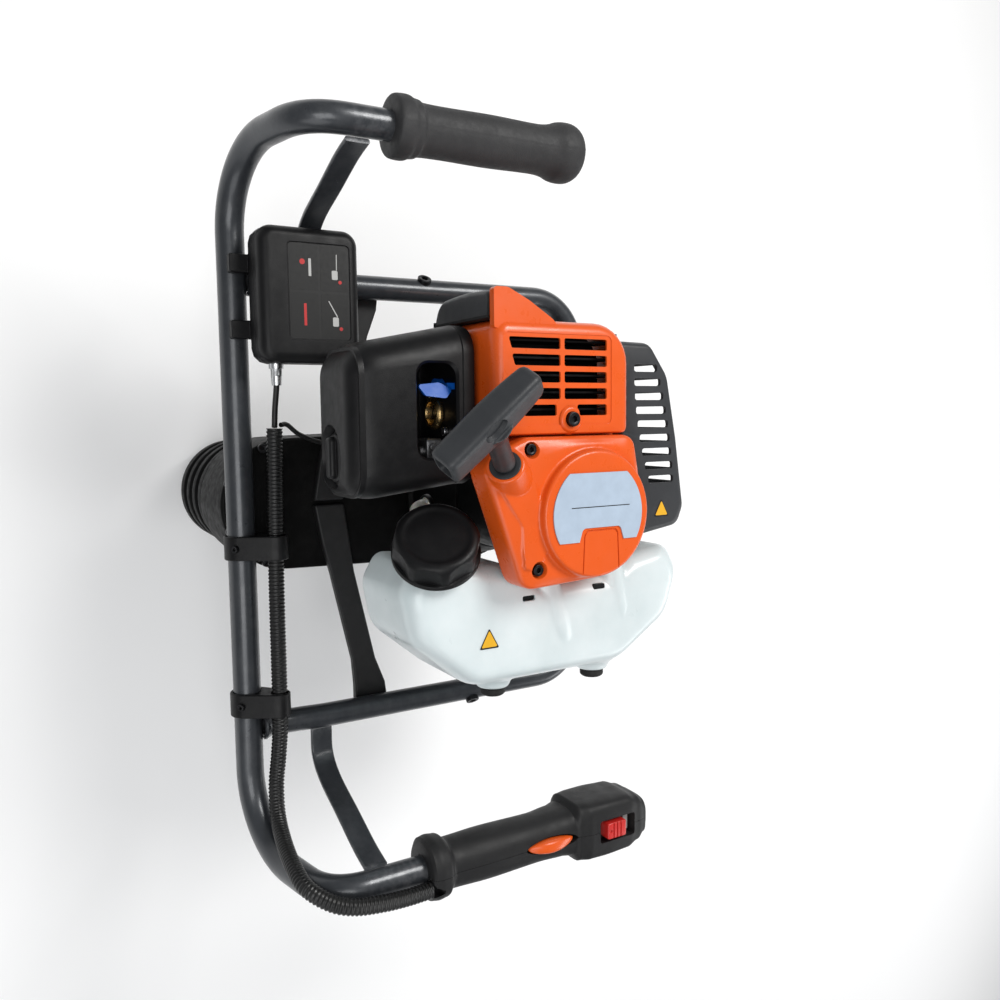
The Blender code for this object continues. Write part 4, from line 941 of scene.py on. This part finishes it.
def shroud():
    """Orange cover over the cylinder, with louvres, a fin beside the plug and a collar round the fan."""
    x0, x1, y0, y1, z0, z1 = SHROUD
    body = loft("top_cover", domed(shroud_outline, z0, z1, 10, 12, 8))
    fin = [(x0 + 8, y0 + 1, 2), (x0 - 24.5, y0 + 1, 3), (x0 - 24.5, y0 + 14, 9), (x0 - 15, y0 + 34, 30),
           (x0 - 1.5, y0 + 56, 10), (x0 + 8, y0 + 66, 2)]
    wedge = block(rounded(fin, 5), z1 - 10, z1 - 3.2)
    collar = block(hull_outline([(0, 0, 58), (-64, -38, 6), (-64, 38, 6)], 120), 150, 183.7)
    boss = filleted([(0, 13), (3.0, 11.5), (5.2, 9.6), (5.2, 7.4)])
    boss = turned("boss", (*SHROUD_SCREW, z1 - 3), Z, boss)
    boolean(body, [wedge, collar, boss], "UNION")
    inner = [shroud_outline(i, z) for i, z in ((3, z0 - 5), (3, z1 - 14), (7, z1 - 2.6))]
    tools = [loft("tool", inner),
             cuboid(x1 - 8, x1 + 40, -34, 34, 152.5, 181), rod((0, 0, 140), (0, 0, 190), 53, 96),
             cuboid(x0 + 44, x1 - 1.1, y0 - 5, y0 + 8, z0 - 20, 142),
             cuboid(x1 - 8, x1 + 8, y0 - 5, 44, z0 - 20, 149.5),
             rod((*SHROUD_SCREW, z1 + 0.2), (*SHROUD_SCREW, z1 + 9), 6.6),
             block(rect(-149, -74.5, -80.5, 26.5, 5), z1 - 0.7, z1 + 0.4)]
    boolean(body, tools + louvres(z1))
    stand_in(body, "cylinder_shroud", bevel=0.9, segments=3, angle=38)
    socket_screw("shroud_screw_fine", (*SHROUD_SCREW, z1 + 0.3), Z, 6.0, 5.6, node="shroud_screw")
    plug_hood(x0, y0)
    plate = block(shroud_outline(5, 160), 160, 162, "louvre_plate")
    slats = [cuboid(x0 + 8 + 7.1 * k, x0 + 9.6 + 7.1 * k, y0 + 6, y1 - 6, 161, z1 - 13) for k in range(11)]
    dressed(boolean(plate, slats, "UNION"), SLOT_OF["plug_cover"], look="black_plastic")


def plug_hood(x0, y0):
    """Grey hood over the plug, with black strips on its top and along its seam that paint the shadow of the
    gap against the shroud.
    """
    def ring(z, out):
        corners = [(x0 - GAP, y0, 1.5), (out, y0 + 1, 5), (out + 3, y0 + 15, 6), (x0 - GAP, y0 + 50, 2)]
        return at(rounded(corners, 5), z)
    profile = [(100 + 16 * (1 - c), x0 - 6 - 18 * s) for c, s in turns(32)[:9]]
    upper = ((135, 25.3), (150, 25.8), (172, 25.2), (186, 24), (190, 22.6), (192, 20))
    profile += [(z, x0 - d) for z, d in upper]
    stand_in(loft("plug_hood", [ring(*q) for q in profile]), "plug_cover", angle=50)
    # The black strips on the hood's top and along its seam are painted shadow of the gap between hood and
    # shroud, in the dark rubber look.
    top_shadow = loft("hood_gap_shadow", [ring(z, x0 - d) for z, d in ((192, 20.5), (192.1, 23), (194.6, 23))])
    seam_shadow = cuboid(x0 - 2.6, x0 - 0.2, y0 - 1.1, y0 + 46, 101, 194.6, "hood_gap_shadow")
    for ob in (top_shadow, seam_shadow):
        dressed(ob, SLOT_OF["plug_cover"], look="foot_rubber", bevel=0.3)


def starter_cuts(z0, z1):
    """Room inside, the rope's mouth, the screws' wells and the groove round the tab."""
    well = [(0, 5.6), (2.4, 5.8), (9, 8.5), (14, 11)]
    tools = [rod((0, 0, z0 - 6), (0, 0, z1 - 9), 44, 96),
             rod(ROPE_EXIT + PULL * 1.0, ROPE_EXIT + PULL * 20, 12.9, 64)]
    tools += [turned("tool", place, Z, well, 48) for place in SCREWS]
    groove = [rounded([(a, TAB_Y - b, 5), (c, TAB_Y - b - 2.5, 1), (c, TAB_Y + b + 2.5, 1),
                       (a, TAB_Y + b, 5)], 6) for a, b, c in ((13.0, 17.6, 66.0), (14.3, 16.3, 62.0))]
    ring = loft("tool", [at(groove[0], z1 - 1.1), at(groove[0], z1 + 3), at(groove[1], z1 + 3),
                         at(groove[1], z1 - 1.1)], True)
    return tools + [ring]


def starter():
    """Recoil cover: soft moulding with a raised round face, a rope boss and screw recesses."""
    n, z0, z1 = 200, STARTER_Z0, STARTER_Z1

    def skirt(i, z):
        return at(hull_outline(LOBES, n, i), z)

    def disc(r, z):
        return at(oval(0, 0, r, r, n), z)
    outer, inner = skirt(3.5, z1 - 9.6), disc(DISC_R - 2.6, z1 - 8.0)
    slope = [[p.lerp(q, t) + Vector((0, 0, 1.3 * sin(pi * t))) for p, q in zip(outer, inner)]
             for t in (0.25, 0.5, 0.75)]
    sides = ((3, z1 - 18), (3, z0), (0, z0), (0, z1 - 14.5), (0.5, z1 - 12.2), (1.7, z1 - 10.4))
    rings = [skirt(*q) for q in sides] + [outer] + slope + [inner]
    rings += [disc(DISC_R - i, z1 - d) for i, d in ((3.4, 2.6), (4.0, 1.0), (5.6, 0))]
    body = loft("starter_cover", rings)
    boss = turned("boss", ROPE_EXIT - PULL * 30, PULL,
                  filleted([(0, 19), (20, 17.5), (30, 16.2), (34, 15.6), (34, 12)], 2.0, 4), 72)
    ridge = block(rounded([(-36, -98, 8), (-30, -58, 8), (24, -44, 10), (52, -60, 10), (40, -68, 8),
                           (6, -70, 10)], 5), z1 - 16, z1 - 6.5)
    softened(merged(body, [boss, ridge]), 1.1, 3, 0.55)
    boolean(body, starter_cuts(z0, z1))
    stand_in(body, "starter_housing", angle=42)
    for i, (x, y, z) in enumerate(SCREWS, 1):
        socket_screw(f"starter_screw_fine_{i}", (x, y, z + 0.3), Z, 4.8, 5.0,
                     node=f"starter_screw_{i}")
    bush = filleted([(0, 2.6), (0, 12.7), (3.6, 12.7), (3.6, 9.2), (1.4, 3.4), (1.4, 2.6)], 0.6, 3)
    dressed(turned("rope_bush", ROPE_EXIT + PULL * 1.1, PULL, bush, 64, True), "grey_plastic")
    badge(z1)


def badge(z):
    """Round plate with a cut-off side, a slot for the tab and one printed line."""
    r, flat, low, wide = 45.4, -34.7, 22.5, 23.0
    a0, a1 = atan2(sqrt(r * r - flat * flat), flat), atan2(sqrt(r * r - low * low), low)
    arc = [(r * cos(a0 + (a1 - a0) * k / 30), r * sin(a0 + (a1 - a0) * k / 30)) for k in range(31)]
    mid = rounded([(low, TAB_Y + wide, 0.4), (11.2, TAB_Y + wide - 3.5, 4.5), (11.2, TAB_Y + 3.5 - wide, 4.5),
                   (low, TAB_Y - wide, 0.4)], 6)
    outline = arc + mid + [(a, -b) for a, b in arc[::-1]]
    stand_in(block(outline, z + 0.1, z + 1.15, "badge_plate"), "starter_badge", bevel=0.35, angle=50)
    flat_piece("badge_line", rect(-6.6, -5.9, -28, 32, 0.3), z + 1.15, z + 1.3, SLOT_OF["starter_badge"],
               "print_grey")


def pull_cord():
    """Tee handle with one open end, a dished side and a flared stem."""
    centre = ROPE_EXIT + PULL * 71
    along = Vector((-0.574, 0.819, 0.0))
    along = (along - PULL * along.dot(PULL)).normalized()
    side = PULL.cross(along)
    rings = []
    sections = ((-48, 11.0, 9.5), (-47, 12.4, 11.0), (-44, 13.2, 12.0), (-32, 13.6, 12.2),
                (-14, 14.2, 12.4), (0, 14.4, 12.6), (14, 14.0, 12.2), (32, 12.8, 11.4),
                (43, 11.6, 10.6), (46.4, 10.0, 9.4), (48, 7.4, 7.0))
    for t, h, w in sections:
        rings.append([centre + along * t + PULL * (h * powered(c, 0.42)) + side * (w * powered(s, 0.42))
                      for c, s in turns(48)])
    bar = loft("tee_handle", rings)
    flare = [(0, 8.0), (1.0, 8.8), (4, 9.0), (9, 8.6), (30, 8.6), (42, 9.2), (50, 11.0), (56, 14.5), (62, 17)]
    softened(merged(bar, [turned("stem", ROPE_EXIT + PULL * 6, PULL, flare, 48)]), 0.9, 4, 0.5)
    hollow = loft("tool", [[centre + along * t + PULL * (a * q) + side * (b * q)
                            for a, b in rect(-9.2, 9.2, -8.0, 8.0, 5)] for t, q in ((-60, 1.0), (-40, 0.85))])
    dish = loft("tool", [[centre + side * d + PULL * (6 + 8.5 * q * c) + along * (-4 + 13.0 * q * s)
                          for c, s in turns(40)] for d, q in ((-20, 1.1), (-9.0, 0.72))])
    boolean(bar, [hollow, dish])
    stand_in(bar, "recoil_handle", bevel=0.5, angle=45)


def starter_rope():
    """The cord from the pulley to the handle."""
    inner = ROPE_EXIT - PULL * 37
    route = [Vector((21.4, -16.6, 192.0)), Vector((4.0, -38.0, 192.0)), inner, ROPE_EXIT + PULL * 5.4]
    rope = swept("starter_rope", smooth(route, 14), 1.7, 16)
    dressed(rope, "rope", None, ["recoil_rope"])
    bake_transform(rope)


# ------------------------------------------------------------------ intake
def filter_outline(i, y):
    """Outline of the filter's cover, which leans and narrows away from the engine."""
    x0, x1, z0, z1 = AF
    t = max(0.0, (AF_Y[1] - y) / (AF_Y[1] - AF_Y[2]))
    return at_y(rect(x0 - 11 + 19 * t, x1 - 11 + 11 * t, z0, z1, 25, i, 10), y)


def latch_rings(rx, ry, stations):
    """Ovals round the latch's axis from (scale, y) pairs."""
    return [at_y(oval(*LATCH, rx * q, ry * q, 56), y) for q, y in stations]


def air_filter():
    """Filter cover with its window and latch, on its base."""
    y_in, y_mid, y_out = AF_Y
    rings = [filter_outline(2.6, y_out + 8), filter_outline(2.6, y_mid - GAP)]
    cover = loft("filter_cover", rings + domed(filter_outline, y_mid - GAP, y_out, 18, -26, 9))
    window = [at(rect(-124 + i, -50 - i, -143 + i, -110 - i, 11, 0, 6), z)
              for i, z in ((0, 150), (0, 176), (-4, 182))]
    recess = latch_rings(27, 23, ((1.12, y_out - 6), (0.86, y_out + 7.0)))
    boolean(cover, [loft("tool", window), loft("tool", recess)])
    dressed(cover, "black_plastic", nodes=["air_filter_cover"], bevel=1.1, segments=3, angle=40)
    base = ((2, y_in), (0.6, y_in - 0.5), (0, y_in - 2), (0, y_mid + 1), (1, y_mid))
    stand_in(loft("filter_base", [filter_outline(*q) for q in base]), "air_filter_base", angle=40)
    edge = ((0.9, 6.6), (1.0, 5.6), (1.0, 3.6), (0.93, 2.6))
    knob = loft("cover_latch", latch_rings(19.6, 18.6, [(q, y_out + d) for q, d in edge]))
    grip = loft("grip", domed(lambda i, y: at_y(rect(-67, -33, 126, 138, 4, i, 6), y),
                              y_out + 6, y_out - 2.6, 2.6, -3.2, 5))
    stand_in(boolean(knob, [grip], "UNION"), "filter_knob", bevel=0.5, angle=40)


def choke_lever():
    """Slanting paddle on a short spindle."""
    paddle = rounded([(-108, -139, 2), (-99, -133, 3), (-97, -115, 3), (-104, -108, 2), (-110, -119, 6)], 4)
    lever = loft("choke_paddle", [[Vector((x, y, z + 0.35 * (x + 107) + s)) for x, y in paddle]
                                  for z, s in ((165, 0), (165, 3.2))])
    boolean(lever, [cuboid(-109.6, -104.4, -111.5, -104.8, 141, 167),
                    rod((-107, -111.5, 143), (-107, -104.8, 143), 7, 40)], "UNION")
    stand_in(lever, "choke_lever", bevel=0.7, segments=3)


def intake():
    """What shows through the window: throat ring, valve block and screws; the carburettor and its lever."""
    y = AF_Y[1]
    throat = filleted([(0, 8.5), (0, 14), (3, 14), (6, 11.5), (6, 9.6), (1, 8.5)], 0.8, 3)
    dressed(turned("intake_ring", (-85, y - 0.6, 132), FRONT, throat, 56, True), "steel", look="brass")
    jet = loft("valve_block", domed(lambda i, d: at_y(rect(-64, -42, 116, 142, 3, i, 4), d),
                                    y - 0.6, y - 15, 1.6, -1.6, 4))
    boolean(jet, [rod((-53, y - 14, 134), (-53, y - 19, 134), 4.2),
                  rod((-57, y - 10, 141), (-57, y - 10, 146), 3)], "UNION")
    dressed(jet, "cast_alloy", bevel=0.4)
    for i, (x, z) in enumerate(((-70, 150), (-100, 122))):
        socket_screw(f"intake_screw_{i + 1}", (x, y - 0.5, z), FRONT, 3.6, 3.4, "steel")
    refined("carburettor", 1.0, 2)
    refined("throttle_lever", 0.4, 2)


def primer():
    """Soft bulb in a collar."""
    y = AF_Y[1]
    dome = filleted([(0, 12), (2.6, 12), (3.2, 10.8), (8, 10.2), (12.5, 8.4), (15.6, 5.2), (17, 1.0)], 2.4, 4)
    bulb = turned("primer_dome", (PRIMER_X, y - GAP, PRIMER_Z), FRONT, dome, 48)
    dressed(bulb, SLOT_OF["primer_bulb"], HOME, ["primer_bulb"], angle=60)
    settle(bulb)
    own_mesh(bulb)
    collar = filleted([(0, 12.4), (0, 15), (3.4, 14.4), (3.4, 12.4)], 0.6, 3)
    collar = turned("primer_collar", (PRIMER_X, y - 0.2, PRIMER_Z), FRONT, collar, 48, True)
    dressed(collar, "black_plastic")


# ------------------------------------------------------------------ exhaust
def shield_outline(k, z):
    """Outline drawn in towards its middle by about k."""
    corners = [(-149, 50, 5), (-148, 97, 12), (-119, 119, 26), (-60, 131, 60), (7, 141, 14), (24, 134, 12),
               (31.5, 84, 16), (33, 62, 5), (-66, 62, 2), (-70, 50, 2)]
    cx, cy = -60.0, 86.0
    return at([(cx + (x - cx) * (1 - k / 88.0), cy + (y - cy) * (1 - k / 40.0))
               for x, y in rounded(corners, 8)], z)


def exhaust():
    """Muffler and its heat shield with nine slots on top and nine in the side."""
    refined("muffler", 2.5, 3)
    rings = [shield_outline(*q) for q in ((2.6, 169.5), (2.6, 64), (0, 64), (0, 161))]
    cover = loft("heat_shield", rings + [shield_outline(6 * c, 173 - 10 * s) for c, s in quarter(7)[1:]])
    rows = [(i, -128 + 12.9 * i) for i in range(9)]
    tools = [block(rect(x, x + 7, 77 + 0.27 * i * i, 104 + 4.2 * i - 0.21 * i * i, 2.2, 0, 4), 158, 182)
             for i, x in rows]
    tools += [block(rect(x, x + 7, 95, 155, 1.5, 0, 3), 112, 160) for i, x in rows]
    boolean(cover, tools)
    stand_in(cover, "muffler_cover", bevel=0.8, angle=40)
    mark("shield_mark", Vector((7.0, 110.0, 173.05)), 9.5, SLOT_OF["muffler_cover"])


def mark(name, centre, size, slot):
    """Blank triangular sticker."""
    corners = ((-1.0, 0.0), (0.75, -0.95), (0.75, 0.95))
    for suffix, k, rise, look in (("edge", 1.0, 0.0, "print_black"), ("field", 0.82, 0.14, "print_yellow")):
        tri = rounded([(centre.x + k * size * a, centre.y + k * size * b, 0.8) for a, b in corners], 3)
        flat_piece(f"{name}_{suffix}", tri, centre.z + rise, centre.z + rise + 0.16, slot, look)


# ------------------------------------------------------------------ fuel
def tank_outline(i, z):
    x0, x1, y0, y1 = TANK[:4]
    corners = [(x0 + i, y0 + 14 + i, 12), (x0 + 24 + i * 0.3, y0 + i, 22),
               (x0 + 66 - i * 0.5, y0 + 8 + i, 30), (x1 - i, y0 + 62, 36), (x1 - i, y1 - 74, 40),
               (x1 - 38 - i * 0.6, y1 - 14 - i * 0.8, 30), (x0 + 30, y1 - i, 22),
               (x0 + 4 + i, y1 - 12 - i, 12), (x0 + 12 + i, 74, 14), (x0 + 28 + i, 48, 14),
               (x0 + 28 + i, -28, 14), (x0 + 8 + i, -60, 14)]
    return at(rounded(corners, 6), z)


def tank():
    """Blow-moulded saddle tank: big radii, two soft ridges running down to the feet."""
    x1, z0, z1 = TANK[1], TANK[4], TANK[5]
    rings = [tank_outline(13 * s, z0 + 13 * c) for c, s in quarter(6)]
    body = loft("milky_tank", rings + [tank_outline(16 * c, z1 - 1.5 - 19 * s) for c, s in quarter(8)])
    boolean(body, [rod(CAP_BASE - CAP_AXIS * 2.4, CAP_BASE + CAP_AXIS * 60, CAP_R + 1.6, 72)])
    ridges = [((62, -20, 169), (112, -5, 170), (134, 6, 150)),
              ((52, 50, 169), (104, 60, 168), (124, 64, 148))]
    neck = [(0, 27), (23.6, 27), (23.6, 21), (33, 21)]
    stub = [(0, 24), (14, 22), (17, 18), (20, 15.6), (24.7, 14.4)]
    adds = [swept("ridge", smooth(r, 8), 12.2, 20) for r in ridges]
    adds += [turned("neck", CAP_BASE - CAP_AXIS * 26, CAP_AXIS, neck, 48)]
    adds += [turned("stub", (x1 - 16, y, FOOT_Z), X, stub) for y in FOOT_Y]
    softened(merged(body, adds), 1.5, 10, 0.5)
    shaded_slots = ((74, -43), (72, 33))
    boolean(body, [block(rect(x - 2.4, x + 2.4, y - 6.5, y + 6.5, 1.6), z1 - 7, z1 + 8) for x, y in shaded_slots])
    stand_in(body, "fuel_tank", angle=50)
    # Black bits in the bottoms of the two slots: painted shade inside the slots.
    for i, (x, y) in enumerate(shaded_slots):
        flat_piece(f"slot_shade_{i + 1}", rect(x - 2.2, x + 2.2, y - 6.2, y + 6.2, 1.5), z1 - 6.9, z1 - 3.2,
                   "tank_plastic", "black_plastic", 0.4)
    rubber = filleted([(0, 10.6), (1, 11), (5, 11), (7, 9), (7, 3)], 0.9, 4)
    for i, y in enumerate(FOOT_Y, 1):
        foot = turned(f"foot_{i}", (x1 + FOOT_STUB + GAP, y, FOOT_Z), X, rubber, 48)
        stand_in(foot, f"tank_foot_{i}")


def cap():
    """Screw cap with eight flats and a rounded rim."""
    u, v, w = basis(CAP_AXIS)
    n, h, flat = 192, CAP_H, (CAP_R - 1.0) * 0.942

    def ring(t, r, cut=True):
        """Circle with eight flats cut into it."""
        out = []
        for k in range(n):
            a = 2 * pi * k / n
            off = (a + pi / 8) % (pi / 4) - pi / 8
            q = min(r, flat / cos(off) + 0.5 * (off * 8 / pi) ** 2) if cut else r
            out.append(CAP_BASE + w * t + (u * cos(a) + v * sin(a)) * q)
        return out
    rings = [ring(9.0, 22.6), ring(-1.6, 22.6), ring(-1.6, CAP_R - 0.8, False), ring(-1.0, CAP_R, False),
             ring(2.6, CAP_R, False), ring(3.2, CAP_R - 0.4, False), ring(3.6, CAP_R - 0.8),
             ring(h - 8, CAP_R - 1.0)]
    rings += [ring(h - 7 * s, CAP_R - 1.2 - 6.5 * c) for c, s in quarter(8)]
    rings += [ring(h - 0.1, CAP_R - 9.5), ring(h - 0.6, CAP_R - 10.3), ring(h - 0.6, CAP_R - 14)]
    stand_in(loft("tank_cap", rings), "fuel_cap", angle=40)


# ------------------------------------------------------------------ gear case and drive
def case_outline(inset, z, n=160):
    mid = OUT_Y / 2
    return at([(a, b + mid) for a, b in hull_outline([(0, -mid, 68), (0, OUT_Y - mid, 63)], n, inset)], z)


def gear_case():
    """Case with its lid and screws, the clutch bell and the ribbed output nose."""
    z0, z1 = CASE_Z0, CASE_Z1 - GAP
    rings = [case_outline(4.4, z0 + 7), case_outline(4.4, z1)] + domed(case_outline, z1, z0, 7, -8, 6)
    body = boolean(loft("gear_box", rings), [rod((0, OUT_Y, z0 - 5), (0, OUT_Y, z0 + 12), 16, 64)])
    stand_in(body, "gear_case", angle=40)
    z2, z3 = CASE_Z1, CASE_Z1 + 8
    cover = loft("gear_lid", domed(case_outline, z2, z3, 3, 3, 5))
    stand_in(boolean(cover, [rod((0, 0, z2 - 5), (0, 0, z3 + 5), 10.5, 48)]), "gear_cover", angle=40)
    for i in range(8):
        a = 2 * pi * (i + 0.5) / 8
        x, y = (61 * cos(a), 60 * sin(a) + (0 if sin(a) > 0 else OUT_Y))
        if abs(x) > 3 and not (-150 < y < -100 and abs(x) < 60):
            socket_screw(f"case_screw_{i + 1}", (x * 0.96, y, z3 - 0.2), Z, 4.4, 3.6)
    bell = [(z2 + 8.6, 60), (z2 + 8.6, 68), (z2 + 16.6, 68), (z2 + 18.6, 63), (30, 56), (50, 50),
            (55.7, 48), (55.7, 9.0), (50, 9.0), (48, 40), (28, 50)]
    bell = turned("clutch_bell", (0, 0, 0), Z, filleted(bell, 1.6, 3), 120, True)
    stand_in(bell, "clutch_housing", angle=40)
    z, nose, top = OUT_Z0, [(OUT_Z0, 15.0), (OUT_Z0, 40.0)], CASE_Z0 - GAP
    pitch = (top - OUT_Z0) / 4
    for i in range(4):
        r = OUT_R - 1.8 + i * 0.6
        nose += [(z + (0.18 * pitch if i else 3), r), (z + 0.62 * pitch, r), (z + 0.72 * pitch, r - 5),
                 (z + 0.96 * pitch, r - 5)]
        z += pitch
    nose += [(top, OUT_R), (top, OUT_R - 12), (OUT_Z0 + 14, OUT_R - 12), (OUT_Z0 + 14, 15.0)]
    nose = turned("output_nose", (0, OUT_Y, 0), Z, filleted(nose, 1.4, 3), 120, True)
    stand_in(nose, "output_housing", angle=40)


def inner_parts():
    """The engine's and the gear train's own solids, with eased edges."""
    for node, width in (("cylinder", 0.5), ("piston", 0.5), ("connecting_rod", 0.4), ("crankshaft", 0.6),
                        ("flywheel", 0.5), ("spark_plug", 0.5), ("recoil_pulley", 0.4), ("clutch_hub", 0.5),
                        ("clutch_drum", 0.5), ("drive_pinion", 0.15), ("cluster_gear_1", 0.15),
                        ("cluster_gear_2", 0.15), ("output_shaft", 0.3), ("recoil_spring", 0.1)):
        refined(node, width)
    refined("crankcase", 2.0, 3, look="black_casting")
    for side in ("left", "right"):
        refined("mount_arm_" + side, 2.2, 3, look="grip_plastic")


# ------------------------------------------------------------------ stage
def floor():
    me = bpy.data.meshes.new("floor")
    s = 7.0
    me.from_pydata([(x, y, -0.0006) for x, y in ((-s, -s), (s, -s), (s, s), (-s, s))], [], [(0, 1, 2, 3)])
    ob = bpy.data.objects.new("floor", me)
    bpy.context.scene.collection.objects.link(ob)
    me.materials.append(stage_floor())


def area_light(name, where, target, size, power, colour=(1.0, 1.0, 1.0)):
    lamp = bpy.data.lights.new(name, "AREA")
    lamp.shape, lamp.size, lamp.size_y = "RECTANGLE", size[0], size[1]
    lamp.energy, lamp.color = power, colour
    ob = bpy.data.objects.new(name, lamp)
    ob.location = where
    ob.rotation_euler = (Vector(target) - Vector(where)).to_track_quat("-Z", "Y").to_euler()
    bpy.context.scene.collection.objects.link(ob)


def studio():
    world = bpy.data.worlds.new("studio")
    bpy.context.scene.world = world
    world.use_nodes = True
    world.node_tree.nodes["Background"].inputs["Color"].default_value = (0.95, 0.97, 1.0, 1.0)
    world.node_tree.nodes["Background"].inputs["Strength"].default_value = 0.29
    middle = (0.0, 0.16, 0.35)
    area_light("key", (-1.1, 0.9, 1.9), middle, (0.8, 0.8), 32.0, (1.0, 0.99, 0.97))
    area_light("fill", (1.3, -0.9, 1.3), middle, (1.4, 1.2), 8.0)
    area_light("rim", (0.9, 1.7, 1.0), middle, (1.4, 0.7), 10.0)
    area_light("top", (0.2, -0.8, 2.2), middle, (1.2, 1.2), 17.0)


def camera():
    cam = bpy.data.cameras.new("camera")
    cam.sensor_width, cam.lens, cam.clip_start = 36.0, 32.38, 0.05
    ob = bpy.data.objects.new("camera", cam)
    right, up = Vector((0.01061, 0.86159, 0.50749)), Vector((-0.99522, 0.05835, -0.07827))
    back = right.cross(up).normalized()
    up = back.cross(right).normalized()
    ob.matrix_world = Matrix.Translation((-0.08531, -0.25914, 1.08413)) @ Matrix(
        (right.normalized(), up, back)).transposed().to_4x4()
    bpy.context.scene.collection.objects.link(ob)
    bpy.context.scene.camera = ob


camera()
frame_tubes()
braces()
conduit()
left_grip()
throttle_grip()
controls()
control_box()
shroud()
starter()
pull_cord()
starter_rope()
air_filter()
choke_lever()
intake()
primer()
exhaust()
tank()
cap()
gear_case()
inner_parts()
mark("tank_mark", Vector((105.0, -82.8, TANK[5] - 1.4)), 10.0, "tank_plastic")
floor()
studio()
